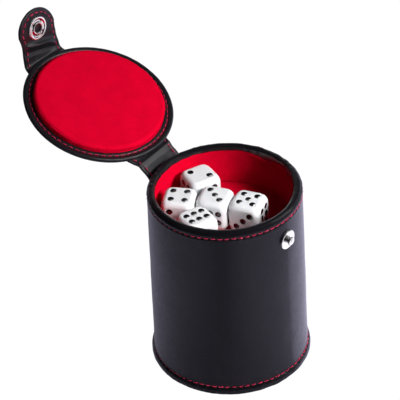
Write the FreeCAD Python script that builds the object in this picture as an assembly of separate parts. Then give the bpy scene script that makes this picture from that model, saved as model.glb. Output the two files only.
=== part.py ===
import FreeCAD, Part
import math
import os

# Leather dice cup standing on its open mouth, with a lidded dice compartment in
# its other end. Units mm, +Z up, origin at the centre of the mouth plane. The
# back (+Y) carries the lid's leather hinge, the front (-Y) the snap stud.
# The lid and its tab are drawn closed and flat, then swung to the rest pose.
os.makedirs("parts", exist_ok=True)
V = FreeCAD.Vector

# ---- cup ----------------------------------------------------------------
CUP_H = 98.4              # overall height
R_TOP = 37.5              # outer wall radius just under the rim
R_BOT = 38.78             # outer wall radius just above the mouth bead
R_BEAD = 40.0             # widest radius of the turned bead at the mouth
Z_WALL_LOW = 5.4          # where the plain wall starts above the bead
T_LEATHER = 0.95          # outer leather
T_BOARD = 2.0             # board core of the wall
T_FELT = 0.80             # felt lining
RIM_ROLL = T_BOARD / 2 + T_LEATHER   # radius of the rolled leather rim
HEM = 3.0                 # how far the leather turns in at each end
GLUE = 0.02               # gap between laminated layers
Z_CORE_LOW = 1.0          # underside of the core
Z_ROLL = CUP_H - RIM_ROLL            # top of the plain wall, centre of the roll

FLOOR_DEPTH = 22.2        # rim to the felt floor of the dice compartment
T_PARTITION = 2.0         # board between compartment and cup
Z_FLOOR = CUP_H - FLOOR_DEPTH
Z_PARTITION_TOP = Z_FLOOR - T_FELT
Z_PARTITION_LOW = Z_PARTITION_TOP - T_PARTITION
Z_CEILING = Z_PARTITION_LOW - T_FELT

# ---- stitching ----------------------------------------------------------
STITCH_R = 0.25           # thread radius
STITCH_L = 2.3            # visible length of one stitch
STITCH_PITCH = 3.3
STITCH_LIFT = STITCH_R + 0.02        # thread centre above the surface
TOP_STITCH = 5.0          # stitch line below the rim
BOT_STITCH = 4.2          # waist above the bead, height over the mouth
BOT_STITCH_R = 38.90      # surface radius under the mouth stitches
BOT_STITCH_RISE = 0.15    # mouth stitches above the waist

# ---- snap stud and its post; distances out from the cup axis ------------
STUD_Z = CUP_H - 15.1
STUD_FLANGE_R = 5.3
STUD_FLANGE_ROUND = 0.35
STUD_FACE = 38.50         # flange face
STUD_TIP = 40.90
STUD_DOME_R = 4.5         # sphere radius of the tip
STUD_NECK_R = 1.6
STUD_BACK = 37.0          # inner end before the wall is cut away
STUD_BORE_R = 1.1
STUD_BORE_END = 39.3
POST_R = 1.5
POST_START = 35.25
POST_L = 2.35
POST_PIN_R = 1.05
POST_PIN_START = 35.3
POST_PIN_L = 3.9
POST_HEAD_R = 4.5
POST_HEAD_START = 34.86
T_POST_HEAD = 0.45

# ---- lid ----------------------------------------------------------------
LID_R = 37.8
LID_GAP = 0.10            # closed lid clears the rim by this much
T_LID_IN = 0.70
T_LID_BOARD = 0.78
T_LID_OUT = 0.98
Z_LID = CUP_H + LID_GAP              # ring face that meets the rim
Z_LID_BOARD = Z_LID + T_LID_IN
Z_LID_OUT = Z_LID_BOARD + T_LID_BOARD
Z_LID_TOP = Z_LID_OUT + T_LID_OUT
LID_STITCH_R = 34.8       # stitch circle
LID_GROOVE = 0.42         # half width and depth of the stitch groove
PAD_R = 33.1              # felt pad under the lid
PAD_H = 3.0
PAD_BOARD_R = PAD_R - 1.3
T_PAD_BOARD = 1.9
PIVOT_Y = 41.1            # lid hinge line
PIVOT_Z = CUP_H + 1.5
LID_OPEN = 160.0          # lid angle in the rest pose, from closed

# ---- hinge strap --------------------------------------------------------
T_STRAP = 1.70            # two layers of strap leather
HALF_T = T_STRAP / 2
STRAP_HALF_W = 12.2
NECK_START_Y = 32.0       # inner end of the hinge neck before trimming
TAIL_L = 32.0             # how far the strap runs down the wall
TAIL_HALF_DEG = 18.7
TAIL_LOW = CUP_H - TAIL_L
TAIL_STITCH_INSET = 2.2
TAIL_STITCH_CLEAR = 5.0   # length left free of stitches at the top
TAIL_STITCH_L = 2.1       # stitches across the tail's lower end
FLARE_BACK = 1.556        # flared end of the tail, in and down from the hinge line
FLARE_HALF = 0.354        # half its 45 degree end face, along Y and along Z

# ---- tab, measured along the flat tab from its bend line ----------------
TAB_Y = -40.3             # bend line, lid closed
TAB_Z = CUP_H + 1.65
TAB_BEND = 66.0           # tab bend in the rest pose, from flat
TAB_HALF_W = 12.7         # half width, and radius of the rounded end
TAB_END = 14.5            # to the centre of the rounded end
TAB_SNAP = 16.75          # to the snap axis
TAB_NECK_L = 8.3
BEND_R = HALF_T + 0.1     # hollow in the neck that clears the tab's round edge
TAB_HOLE_R = 3.25
TAB_STITCH_R = TAB_HALF_W - 2.3      # side lines, and arc round the end
TAB_STITCH_CLEAR = 1.6
TAB_END_Y = TAB_Y - TAB_END
SNAP_Y = TAB_Y - TAB_SNAP
Z_TAB_OUT = TAB_Z + HALF_T           # outer face
Z_TAB_IN = TAB_Z - HALF_T            # inner face

# ---- snap cap, socket and spring ----------------------------------------
CAP_R = 6.3
CAP_H = 1.55
CAP_EDGE_H = 0.45         # where the dome starts
BARREL_R = 3.2
BARREL_BORE_R = 2.6
SOCKET_R = 6.2
SOCKET_BORE_R = 3.24
T_SOCKET = 0.88
Z_SOCKET = Z_TAB_IN - GLUE
MARK_L, MARK_W, MARK_H = 1.1, 0.45, 0.4   # notches on the socket face
MARK_RING_R = 3.55
SPRING_R = 2.28
SPRING_WIRE_R = 0.18
SPRING_DROP = 0.52        # wire below the top of the socket

# ---- dice ---------------------------------------------------------------
DIE = 16.0                # edge
DIE_SPHERE = 11.6         # corner rounding sphere
DIE_FILLET = 2.2
PIP_R = 1.55
PIP_DEPTH = 0.65
PIP_BALL = (PIP_R**2 + PIP_DEPTH**2) / (2 * PIP_DEPTH)
PAINT_R = PIP_R - 0.12
T_PAINT = 0.12
PIP_L = 3.4               # corner pips from the face centre
SIX_ROW = 4.1             # end pips of a row of three
SIX_COL = 2.45            # rows of three from the face centre

# name, centre x, centre y, face up, face to the front, direction of that face
DICE = [
    ("die_1", 7.30, 21.70, "-y", "+x", -110.4),
    ("die_2", -12.52, 18.42, "-x", "-y", -151.1),
    ("die_3", -1.85, 4.72, "+x", "-z", -159.6),
    ("die_4", -20.36, 0.84, "-z", "+x", -108.8),
    ("die_5", 4.93, -10.48, "+y", "+x", -162.3),
]
AXES = {
    "+x": V(1, 0, 0), "-x": V(-1, 0, 0), "+y": V(0, 1, 0),
    "-y": V(0, -1, 0), "+z": V(0, 0, 1), "-z": V(0, 0, -1),
}
# pip places on each face; opposite faces add to seven
PIPS = {
    "+z": [(0, 0, 0)],
    "-y": [(-PIP_L, 0, -PIP_L), (PIP_L, 0, PIP_L)],
    "+x": [(0, PIP_L, -PIP_L), (0, 0, 0), (0, -PIP_L, PIP_L)],
    "-x": [(0, y, z) for y in (PIP_L, -PIP_L) for z in (PIP_L, -PIP_L)],
    "+y": [(x, 0, z) for x in (PIP_L, -PIP_L) for z in (PIP_L, -PIP_L)] + [(0, 0, 0)],
    "-z": [(c * SIX_COL, r * SIX_ROW, 0) for c in (-1, 1) for r in (-1, 0, 1)],
}


# ---- helpers ------------------------------------------------------------
def wall(z):
    """Outer wall radius at height z."""
    return R_TOP + (R_BOT - R_TOP) * (Z_ROLL - z) / (Z_ROLL - Z_WALL_LOW)


def core_out(z):
    return wall(z) - T_LEATHER


def core_in(z):
    return core_out(z) - T_BOARD


def in_xz(x, z):
    return V(x, 0, z)


def profile(start, steps, place=in_xz):
    """Closed face from 2D points: a step is a point, or (mid, end) for an arc."""
    here = first = place(*start)
    edges = []
    for step in steps:
        if isinstance(step[0], tuple):
            mid, end = place(*step[0]), place(*step[1])
            edges.append(Part.Arc(here, mid, end).toShape())
        else:
            end = place(*step)
            edges.append(Part.makeLine(here, end))
        here = end
    if here.distanceToPoint(first) > 1e-7:
        edges.append(Part.makeLine(here, first))
    return Part.Face(Part.Wire(edges))


def turn(start, steps, start_deg=0.0, span=360.0):
    """Turn an (r, z) profile round the Z axis."""
    face = profile(start, steps)
    if start_deg:
        face.rotate(V(0, 0, 0), V(0, 0, 1), start_deg)
    return face.revolve(V(0, 0, 0), V(0, 0, 1), span)


def rim_point(radius, degrees):
    """(r, z) point on a circle about the centre of the rolled rim."""
    a = math.radians(degrees)
    centre_r = wall(Z_ROLL) - RIM_ROLL
    return (centre_r + radius * math.cos(a), Z_ROLL + radius * math.sin(a))


def on_circle(radius, degrees, z=0.0):
    a = math.radians(degrees)
    return V(radius * math.cos(a), radius * math.sin(a), z)


def tangent(degrees):
    a = math.radians(degrees)
    return V(-math.sin(a), math.cos(a), 0)


def stitch(centre, direction, length=STITCH_L):
    return Part.makeCylinder(STITCH_R, length, centre - direction * (length / 2), direction)


def ring_stitches(radius, z, skip=None):
    """Stitches round a circle of thread centres is laid out by its surface radius."""
    return [
        (degrees, stitch(on_circle(radius, degrees, z), tangent(degrees)))
        for degrees in []
    ]


def stitch_ring(radius, z, out=0, up=0, skip_deg=0.0):
    """Stitches round a surface circle, lifted outwards or along Z.

    Stitches within skip_deg of the back (+Y) are left out.
    """
    count = int(round(2 * math.pi * radius / STITCH_PITCH))
    angles = [360.0 * (i + 0.5) / count for i in range(count)]
    return [
        stitch(on_circle(radius + out * STITCH_LIFT, a, z + up * STITCH_LIFT), tangent(a))
        for a in angles
        if abs(a - 90) >= skip_deg
    ]


def cylinder_x(y, z, radius, half_width):
    return Part.makeCylinder(radius, 2 * half_width, V(-half_width, y, z), V(1, 0, 0))


def front_cylinder(radius, start, length):
    """Cylinder on the stud axis, running outwards from its start."""
    return Part.makeCylinder(radius, length, V(0, -start, STUD_Z), V(0, -1, 0))


def split_layers(strap, z_mid):
    """Upper and lower leather layers of a strap."""
    width, length, height = 60, 200, 4
    low_corner = z_mid - GLUE / 2 - height
    return [
        strap.common(Part.makeBox(width, length, height, V(-width / 2, -length / 2, z)))
        for z in (z_mid + GLUE / 2, low_corner)
    ]


# ---- cup pieces ---------------------------------------------------------
def core_tube():
    core = turn(
        (core_in(Z_CORE_LOW) + GLUE, Z_CORE_LOW + GLUE),
        [
            (core_out(Z_CORE_LOW) - GLUE, Z_CORE_LOW + GLUE),
            (core_out(Z_ROLL) - GLUE, Z_ROLL),
            (rim_point(T_BOARD / 2 - GLUE, 90), (core_in(Z_ROLL) + GLUE, Z_ROLL)),
        ],
    )
    core = core.cut(front_cylinder(POST_R + 0.05, 33, 10))
    # pocket for the post's head, open to the inside
    pocket_start = 30
    pocket_end = POST_HEAD_START + T_POST_HEAD + 0.05
    return core.cut(
        front_cylinder(POST_HEAD_R + 0.1, pocket_start, pocket_end - pocket_start)
    )


def outer_leather():
    """Wrap over the core: hem and bead at the mouth, wall, rolled rim and hem."""
    bead_z = 1.35
    leather = turn(
        (core_in(HEM) - T_LEATHER, HEM),
        [
            (core_in(bead_z) - T_LEATHER, bead_z),
            (
                (core_in(bead_z) - T_LEATHER + 0.40, 0.40),
                (core_in(0) - T_LEATHER + bead_z, 0.0),
            ),
            (38.9, 0.0),
            ((39.72, 0.42), (R_BEAD, bead_z)),
            ((39.80, 2.75), (39.35, 3.55)),
            ((39.05, 3.95), (38.86, BOT_STITCH)),
            (wall(Z_WALL_LOW), Z_WALL_LOW),
            (wall(Z_ROLL), Z_ROLL),
            (rim_point(RIM_ROLL, 45), rim_point(RIM_ROLL, 90)),
            (rim_point(RIM_ROLL, 135), rim_point(RIM_ROLL, 180)),
            (core_in(CUP_H - HEM) - T_LEATHER, CUP_H - HEM),
            (core_in(CUP_H - HEM), CUP_H - HEM),
            (core_in(Z_ROLL), Z_ROLL),
            (rim_point(T_BOARD / 2, 90), (core_out(Z_ROLL), Z_ROLL)),
            (core_out(Z_CORE_LOW), Z_CORE_LOW),
            (core_in(Z_CORE_LOW), Z_CORE_LOW),
            (core_in(HEM), HEM),
        ],
    )
    return leather.cut(front_cylinder(POST_R + 0.05, 33, 10))


def partition_board():
    return Part.makeCylinder(
        core_in(Z_PARTITION_TOP) - GLUE, T_PARTITION - 2 * GLUE, V(0, 0, Z_PARTITION_LOW + GLUE)
    )


def felt_disc(z_top):
    return Part.makeCylinder(core_in(z_top) - GLUE, T_FELT - GLUE, V(0, 0, z_top - T_FELT))


def wall_felt(z_low, z_high):
    return turn(
        (core_in(z_low) - T_FELT, z_low + GLUE),
        [
            (core_in(z_low), z_low + GLUE),
            (core_in(z_high), z_high - GLUE),
            (core_in(z_high) - T_FELT, z_high - GLUE),
        ],
    )


def stud_dome(radius):
    """(radius, distance out) point on the stud's domed tip."""
    return (radius, STUD_TIP - STUD_DOME_R + math.sqrt(STUD_DOME_R**2 - radius**2))


def snap_stud():
    """Domed head, neck and flange, cut to fit the cup wall."""
    face = profile(
        (0, STUD_BORE_END),
        [
            (0, STUD_TIP),
            (stud_dome(0.8), stud_dome(1.5)),
            ((1.96, STUD_TIP - 0.48), (2.1, STUD_TIP - 0.85)),
            ((1.98, STUD_TIP - 1.22), (STUD_NECK_R, STUD_TIP - 1.50)),
            (STUD_NECK_R, 38.9),
            ((1.75, 38.62), (2.1, STUD_FACE)),
            (STUD_FLANGE_R - STUD_FLANGE_ROUND, STUD_FACE),
            (
                (STUD_FLANGE_R - 0.1, STUD_FACE - 0.1),
                (STUD_FLANGE_R, STUD_FACE - STUD_FLANGE_ROUND),
            ),
            (STUD_FLANGE_R, STUD_BACK),
            (STUD_BORE_R, STUD_BACK),
            (STUD_BORE_R, STUD_BORE_END),
        ],
        place=lambda radius, out: V(radius, -out, STUD_Z),
    )
    stud = face.revolve(V(0, 0, STUD_Z), V(0, 1, 0), 360)
    reach = 10
    low, high = STUD_Z - reach, STUD_Z + reach
    return stud.cut(
        Part.makeCone(wall(low) + GLUE, wall(high) + GLUE, 2 * reach, V(0, 0, low))
    )


def snap_post():
    return (
        front_cylinder(POST_HEAD_R, POST_HEAD_START, T_POST_HEAD)
        .fuse(front_cylinder(POST_R, POST_START, POST_L))
        .fuse(front_cylinder(POST_PIN_R, POST_PIN_START, POST_PIN_L))
        .removeSplitter()
    )


# ---- hinge strap's tail down the back wall ------------------------------
def turn_tail(start, steps):
    return turn(start, steps, 90 - TAIL_HALF_DEG, 2 * TAIL_HALF_DEG)


def strap_tail_lining():
    z_top = CUP_H - 1.9
    return turn_tail(
        (wall(TAIL_LOW) + GLUE, TAIL_LOW),
        [
            (wall(TAIL_LOW) + HALF_T, TAIL_LOW),
            (wall(z_top) + HALF_T, z_top),
            (wall(z_top) + GLUE, z_top),
        ],
    )


def strap_tail_leather():
    """Top layer, turning out towards the hinge line."""
    z_bend = CUP_H - 2.4
    flare_y, flare_z = PIVOT_Y - FLARE_BACK, PIVOT_Z - FLARE_BACK
    return turn_tail(
        (wall(TAIL_LOW) + HALF_T + GLUE, TAIL_LOW),
        [
            (wall(TAIL_LOW) + T_STRAP, TAIL_LOW),
            (wall(z_bend) + T_STRAP, z_bend),
            (flare_y + FLARE_HALF, flare_z - FLARE_HALF),
            (flare_y - FLARE_HALF, flare_z + FLARE_HALF),
            (wall(CUP_H - 1.5) + HALF_T + GLUE, CUP_H - 1.3),
        ],
    )


def strap_tail_stitching():
    """A line up each side and one across the lower end."""
    z_low = TAIL_LOW + TAIL_STITCH_INSET
    side_deg = TAIL_HALF_DEG - math.degrees(TAIL_STITCH_INSET / wall(TAIL_LOW))
    stitches = []
    up_count = int((TAIL_L - TAIL_STITCH_INSET - TAIL_STITCH_CLEAR) / STITCH_PITCH)
    for side in (-1, 1):
        for i in range(up_count):
            z = z_low + STITCH_PITCH * (i + 0.5)
            radius = wall(z) + T_STRAP + STITCH_R + 0.03
            stitches.append(stitch(on_circle(radius, 90 + side * side_deg, z), V(0, 0, 1)))
    across = int(round(2 * math.radians(side_deg) * wall(z_low) / STITCH_PITCH))
    radius = wall(z_low) + T_STRAP + STITCH_R + 0.05
    for i in range(across):
        a = 90 - side_deg + 2 * side_deg * (i + 0.5) / across
        stitches.append(stitch(on_circle(radius, a, z_low), tangent(a), TAIL_STITCH_L))
    return Part.Compound(stitches)


# ---- lid pieces, drawn closed -------------------------------------------
def lid_inner_leather():
    groove_in, groove_out = LID_STITCH_R - LID_GROOVE, LID_STITCH_R + LID_GROOVE
    return turn(
        (0, Z_LID),
        [
            (groove_in, Z_LID),
            (groove_in, Z_LID + LID_GROOVE),
            (groove_out, Z_LID + LID_GROOVE),
            (groove_out, Z_LID),
            (LID_R - 0.35, Z_LID),
            ((LID_R - 0.1, Z_LID + 0.1), (LID_R, Z_LID + 0.35)),
            (LID_R, Z_LID_BOARD - GLUE),
            (0, Z_LID_BOARD - GLUE),
        ],
    )


def lid_board():
    return Part.makeCylinder(LID_R - 0.25, T_LID_BOARD - GLUE, V(0, 0, Z_LID_BOARD))


def lid_outer_leather():
    return turn(
        (0, Z_LID_OUT),
        [
            (LID_R, Z_LID_OUT),
            (LID_R, Z_LID_TOP - 0.4),
            ((LID_R - 0.12, Z_LID_TOP - 0.12), (LID_R - 0.4, Z_LID_TOP)),
            (0, Z_LID_TOP),
        ],
    )


def lid_pad_board():
    return Part.makeCylinder(PAD_BOARD_R, T_PAD_BOARD, V(0, 0, Z_LID - GLUE - T_PAD_BOARD))


def lid_pad_felt():
    """Felt under and round the pad board."""
    z_low, z_top = Z_LID - PAD_H, Z_LID - GLUE
    z_board = z_top - T_PAD_BOARD - GLUE
    return turn(
        (0, z_low),
        [
            (PAD_R - 1.5, z_low),
            ((PAD_R - 0.44, z_low + 0.44), (PAD_R, z_low + 1.5)),
            (PAD_R, z_top),
            (PAD_BOARD_R + GLUE, z_top),
            (PAD_BOARD_R + GLUE, z_board),
            (0, z_board),
        ],
    )


def trim_to_lid(shape):
    return shape.cut(Part.makeCylinder(LID_R + GLUE, 20, V(0, 0, CUP_H - 8)))


def hinge_neck():
    """Leather and lining at the back, with a rounded end on the hinge line."""
    neck = Part.makeBox(
        2 * STRAP_HALF_W, PIVOT_Y - NECK_START_Y, T_STRAP,
        V(-STRAP_HALF_W, NECK_START_Y, PIVOT_Z - HALF_T),
    )
    neck = neck.fuse(cylinder_x(PIVOT_Y, PIVOT_Z, HALF_T, STRAP_HALF_W)).removeSplitter()
    return [trim_to_lid(layer) for layer in split_layers(neck, PIVOT_Z)]


def tab_neck():
    """Leather and lining at the front, hollowed round the tab's bend line."""
    neck = Part.makeBox(
        2 * TAB_HALF_W, TAB_NECK_L, T_STRAP, V(-TAB_HALF_W, TAB_Y, TAB_Z - HALF_T)
    )
    neck = neck.cut(cylinder_x(TAB_Y, TAB_Z, BEND_R, 40))
    leather, lining = [trim_to_lid(layer) for layer in split_layers(neck, TAB_Z)]
    # square off the lining so the bent tab clears it
    lining = lining.cut(Part.makeBox(60, 10, 6, V(-30, TAB_Y + BEND_R - 10, TAB_Z - 6)))
    return leather, lining


def lid_stitching():
    return Part.Compound(
        stitch_ring(LID_STITCH_R, Z_LID + LID_GROOVE, up=-1)
        + stitch_ring(LID_STITCH_R, Z_LID_TOP, up=1)
    )


# ---- tab pieces, drawn flat in the closed lid's plane -------------------
def tab_layers():
    """Leather and lining of the tab, round-ended and holed for the snap."""
    tab = Part.makeBox(
        2 * TAB_HALF_W, TAB_END, T_STRAP, V(-TAB_HALF_W, TAB_END_Y, Z_TAB_IN)
    )
    tab = tab.fuse(Part.makeCylinder(TAB_HALF_W, T_STRAP, V(0, TAB_END_Y, Z_TAB_IN)))
    tab = tab.fuse(cylinder_x(TAB_Y, TAB_Z, HALF_T, TAB_HALF_W)).removeSplitter()
    tab = tab.cut(Part.makeCylinder(TAB_HOLE_R, 6, V(0, SNAP_Y, TAB_Z - 3)))
    return split_layers(tab, TAB_Z)


def tab_stitching():
    """Both faces: a line along each side and an arc round the end."""
    stitches = []
    side_count = int((TAB_END - TAB_STITCH_CLEAR) / STITCH_PITCH)
    arc_count = int(round(math.pi * TAB_STITCH_R / STITCH_PITCH))
    for z in (Z_TAB_OUT + STITCH_LIFT, Z_TAB_IN - STITCH_LIFT):
        for side in (-1, 1):
            for i in range(side_count):
                y = TAB_END_Y + STITCH_PITCH * (i + 0.5)
                stitches.append(stitch(V(side * TAB_STITCH_R, y, z), V(0, 1, 0)))
        for i in range(arc_count):
            a = 180 + 180 * (i + 0.5) / arc_count
            centre = on_circle(TAB_STITCH_R, a, z) + V(0, TAB_END_Y, 0)
            stitches.append(stitch(centre, tangent(a)))
    return Part.Compound(stitches)


def turn_at_snap(start, steps):
    shape = turn(start, steps)
    shape.translate(V(0, SNAP_Y, 0))
    return shape


def snap_cap():
    """Dome outside, barrel through the tab."""
    rise = CAP_H - CAP_EDGE_H
    dome_r = (CAP_R**2 + rise**2) / (2 * rise)
    dome_z = Z_TAB_OUT + CAP_H - dome_r
    mid_r = 3.4
    return turn_at_snap(
        (0, Z_TAB_OUT + 0.65),
        [
            (BARREL_BORE_R, Z_TAB_OUT + 0.65),
            (BARREL_BORE_R, Z_TAB_IN - 0.3),
            (BARREL_R, Z_TAB_IN - 0.3),
            (BARREL_R, Z_TAB_OUT + GLUE),
            (CAP_R - 0.5, Z_TAB_OUT + GLUE),
            ((CAP_R - 0.1, Z_TAB_OUT + 0.15), (CAP_R, Z_TAB_OUT + CAP_EDGE_H)),
            ((mid_r, dome_z + math.sqrt(dome_r**2 - mid_r**2)), (0, Z_TAB_OUT + CAP_H)),
        ],
    )


def snap_socket():
    """Ring on the tab's inner face, with four notches in its own face."""
    z_face = Z_SOCKET - T_SOCKET
    socket = turn_at_snap(
        (SOCKET_BORE_R, Z_SOCKET),
        [
            (SOCKET_R, Z_SOCKET),
            (SOCKET_R, Z_SOCKET - 0.45),
            ((SOCKET_R - 0.12, Z_SOCKET - 0.74), (SOCKET_R - 0.45, z_face)),
            (SOCKET_R - 1.0, z_face),
            ((4.6, Z_SOCKET - 0.62), (4.0, z_face)),
            (2.4, z_face),
            (2.4, Z_SOCKET - 0.72),
            (2.8, Z_SOCKET - 0.72),
            (2.8, Z_SOCKET - 0.32),
            (SOCKET_BORE_R, Z_SOCKET - 0.32),
        ],
    )
    for a in (45, 135, 225, 315):
        mark = Part.makeBox(MARK_L, MARK_W, MARK_H, V(-MARK_L / 2, -MARK_W / 2, -MARK_H / 2))
        mark.rotate(V(0, 0, 0), V(0, 0, 1), a)
        mark.translate(on_circle(MARK_RING_R, a, z_face) + V(0, SNAP_Y, 0))
        socket = socket.cut(mark)
    return socket


def snap_spring():
    """Split spring wire that grips the stud's neck."""
    z = Z_SOCKET - SPRING_DROP
    spring = Part.makeTorus(SPRING_R, SPRING_WIRE_R, V(0, SNAP_Y, z), V(0, 0, 1))
    return spring.cut(Part.makeBox(2.2, 0.9, 1.0, V(1.2, SNAP_Y - 0.45, z - 0.5)))


# ---- dice ---------------------------------------------------------------
def make_die():
    """Die body with its pip hollows, and the paint lining them."""
    box = Part.makeBox(DIE, DIE, DIE, V(-DIE / 2, -DIE / 2, -DIE / 2))
    box = box.makeFillet(DIE_FILLET, box.Edges)
    body = box.common(Part.makeSphere(DIE_SPHERE))
    edge = DIE - 2 * GLUE
    inside = Part.makeBox(edge, edge, edge, V(-edge / 2, -edge / 2, -edge / 2))
    balls, paints = [], []
    for face, spots in PIPS.items():
        normal = AXES[face]
        for spot in spots:
            centre = V(*spot) + normal * (DIE / 2 + PIP_BALL - PIP_DEPTH)
            balls.append(Part.makeSphere(PIP_BALL, centre))
            shell = Part.makeSphere(PIP_BALL - GLUE, centre).cut(
                Part.makeSphere(PIP_BALL - GLUE - T_PAINT, centre)
            )
            shell = shell.common(Part.makeCylinder(PAINT_R, 3.0, centre - normal * 3.0, normal))
            paints.append(shell.common(inside))
    return body.cut(balls), Part.Compound(paints)


def die_placement(x, y, up, front, yaw):
    """Turn a die's up and front faces to +Z and yaw, and stand it on the floor."""
    centre = (x, y, Z_FLOOR + DIE / 2 + GLUE)
    # (world direction, die direction) of the right, front and up
    pairs = (
        (tangent(yaw), AXES[up].cross(AXES[front])),
        (on_circle(1, yaw), AXES[front]),
        (V(0, 0, 1), AXES[up]),
    )
    numbers = []
    for i in range(3):
        numbers += [sum(world[i] * own[j] for world, own in pairs) for j in range(3)]
        numbers.append(centre[i])
    return FreeCAD.Placement(FreeCAD.Matrix(*numbers, 0, 0, 0, 1))


# ---- build, pose and write ----------------------------------------------
cup_parts = {
    "core_tube": core_tube(),
    "outer_leather": outer_leather(),
    "partition_board": partition_board(),
    "compartment_wall_felt": wall_felt(Z_FLOOR, CUP_H - HEM),
    "compartment_floor_felt": felt_disc(Z_FLOOR),
    "mouth_wall_felt": wall_felt(HEM, Z_CEILING),
    "mouth_floor_felt": felt_disc(Z_PARTITION_LOW),
    # the strap covers the rim stitches at the back
    "rim_stitching": Part.Compound(stitch_ring(
        wall(CUP_H - TOP_STITCH), CUP_H - TOP_STITCH, out=1, skip_deg=TAIL_HALF_DEG + 3
    )),
    "mouth_stitching": Part.Compound(
        stitch_ring(BOT_STITCH_R, BOT_STITCH + BOT_STITCH_RISE, out=1)
    ),
    "snap_stud": snap_stud(),
    "snap_post": snap_post(),
    "strap_tail_lining": strap_tail_lining(),
    "strap_tail_leather": strap_tail_leather(),
    "strap_tail_stitching": strap_tail_stitching(),
}
lid_parts = {
    "lid_outer_leather": lid_outer_leather(),
    "lid_board": lid_board(),
    "lid_inner_leather": lid_inner_leather(),
    "lid_pad_board": lid_pad_board(),
    "lid_pad_felt": lid_pad_felt(),
    "lid_stitching": lid_stitching(),
}
lid_parts["hinge_neck_leather"], lid_parts["hinge_neck_lining"] = hinge_neck()
lid_parts["tab_neck_leather"], lid_parts["tab_neck_lining"] = tab_neck()
tab_parts = {
    "tab_stitching": tab_stitching(),
    "snap_cap": snap_cap(),
    "snap_socket": snap_socket(),
    "snap_spring": snap_spring(),
}
tab_parts["tab_leather"], tab_parts["tab_lining"] = tab_layers()

for shape in tab_parts.values():
    shape.rotate(V(0, TAB_Y, TAB_Z), V(1, 0, 0), TAB_BEND)
for shape in [*lid_parts.values(), *tab_parts.values()]:
    shape.rotate(V(0, PIVOT_Y, PIVOT_Z), V(-1, 0, 0), LID_OPEN)

dice_parts = {}
die_body, die_pips = make_die()
for die, *pose in DICE:
    placement = die_placement(*pose)
    for suffix, source in (("_body", die_body), ("_pips", die_pips)):
        piece = source.copy()
        piece.Placement = placement.multiply(piece.Placement)
        dice_parts[die + suffix] = piece

for group in (cup_parts, lid_parts, tab_parts, dice_parts):
    for name, shape in group.items():
        shape.exportStep("parts/" + name + ".step")
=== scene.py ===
"""A leather dice cup, standing mouth down, with five dice in a compartment in its top.

The cup's axis is Z, with the mouth at z = 0 and the compartment's rim at z = CUP_H.
The lid hinges at the back (+Y) and rests open beyond it, outer face down. Its closing
tab is bent over at the free edge. The snap stud is on the front wall (-Y).
Shapes are worked out in millimetres and scaled to metres as meshes are made.
"""
import math

import bmesh
import bpy
import numpy as np
from mathutils import Matrix, Vector


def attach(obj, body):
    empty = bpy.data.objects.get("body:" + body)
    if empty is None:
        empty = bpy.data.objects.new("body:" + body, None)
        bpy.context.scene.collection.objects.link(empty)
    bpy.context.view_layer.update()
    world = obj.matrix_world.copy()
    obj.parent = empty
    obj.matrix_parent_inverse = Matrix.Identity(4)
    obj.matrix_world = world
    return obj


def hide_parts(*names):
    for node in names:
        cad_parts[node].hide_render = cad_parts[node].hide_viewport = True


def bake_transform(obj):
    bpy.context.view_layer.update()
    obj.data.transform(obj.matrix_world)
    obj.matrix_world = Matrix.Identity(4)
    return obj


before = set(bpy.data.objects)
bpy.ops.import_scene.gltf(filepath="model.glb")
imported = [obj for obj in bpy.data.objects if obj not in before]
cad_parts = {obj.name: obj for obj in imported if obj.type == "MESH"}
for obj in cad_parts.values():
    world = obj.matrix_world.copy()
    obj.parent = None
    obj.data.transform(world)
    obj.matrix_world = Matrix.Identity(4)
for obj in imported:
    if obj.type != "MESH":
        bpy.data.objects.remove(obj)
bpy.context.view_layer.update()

# ------------------------------------------------------------------ dimensions, mm
MM = 0.001
CUP_H = 98.4
RIM_R = 1.95                                # rounding of the rolled rim
RIM_Z = CUP_H - RIM_R                       # where the rolled rim starts
LEATHER_T, BOARD_T, FELT_T = 0.95, 2.0, 0.80
HEM = 3.0                                   # leather turned in at both ends
FLOOR_Z = CUP_H - 22.2                      # compartment floor
PARTITION_Z = FLOOR_Z - FELT_T - 2.0        # underside of the partition board
TOP_STITCH_Z = CUP_H - 3.85
MOUTH_STITCH_Z = 4.2
MOUTH_STITCH_LIFT = 0.15                    # stitches sit this far above their groove
STUD_Z = CUP_H - 15.1
HINGE_Y, HINGE_Z = 41.1, CUP_H + 1.5        # lid hinge line
BEND_Y, BEND_Z = -40.3, CUP_H + 1.65        # tab bend line, lid closed
LID_OPEN, TAB_BEND = 160.0, 66.0            # degrees
LID_STITCH_R = 34.8
PAD_R, PAD_TOP = 33.1, 3.45
STRAP_HALF = 0.85                           # half the thickness of either strap
PITCH, STITCH_L = 3.3, 2.35
EX, EY, EZ = np.eye(3)
rng = np.random.RandomState(7)


def wall(z):
    """outside radius of the cup, widening towards the mouth"""
    return 37.5 + 1.28 * (RIM_Z - z) / (RIM_Z - 5.4)


def bore(z):
    """inside radius of the board tube"""
    return wall(z) - LEATHER_T - BOARD_T


# ------------------------------------------------------------------ numbers and noise
def smooth(value, low, high):
    part = np.clip((np.asarray(value, float) - low) / (high - low), 0, 1)
    return part * part * (3 - 2 * part)


def bell(value, spread):
    return np.exp(-((value / spread) ** 2))


def xyz(x, y, z):
    return np.stack(np.broadcast_arrays(x, y, z), -1)


def polar_xyz(angle, radius, z):
    return xyz(radius * np.cos(angle), radius * np.sin(angle), z)


def full_turn(count):
    return np.arange(count) * 2 * math.pi / count


def lattice(ix, iy, iz, seed):
    """a repeatable value from -1 to 1 at each whole-number point"""
    n = (ix * 73856093) ^ (iy * 19349663) ^ (iz * 83492791) ^ (seed * 7368787 + 12345)
    n = (n ^ (n >> 13)) * 1274126177
    n = n ^ (n >> 16)
    return (n & 0xFFFF) / 32767.5 - 1.0


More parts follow.
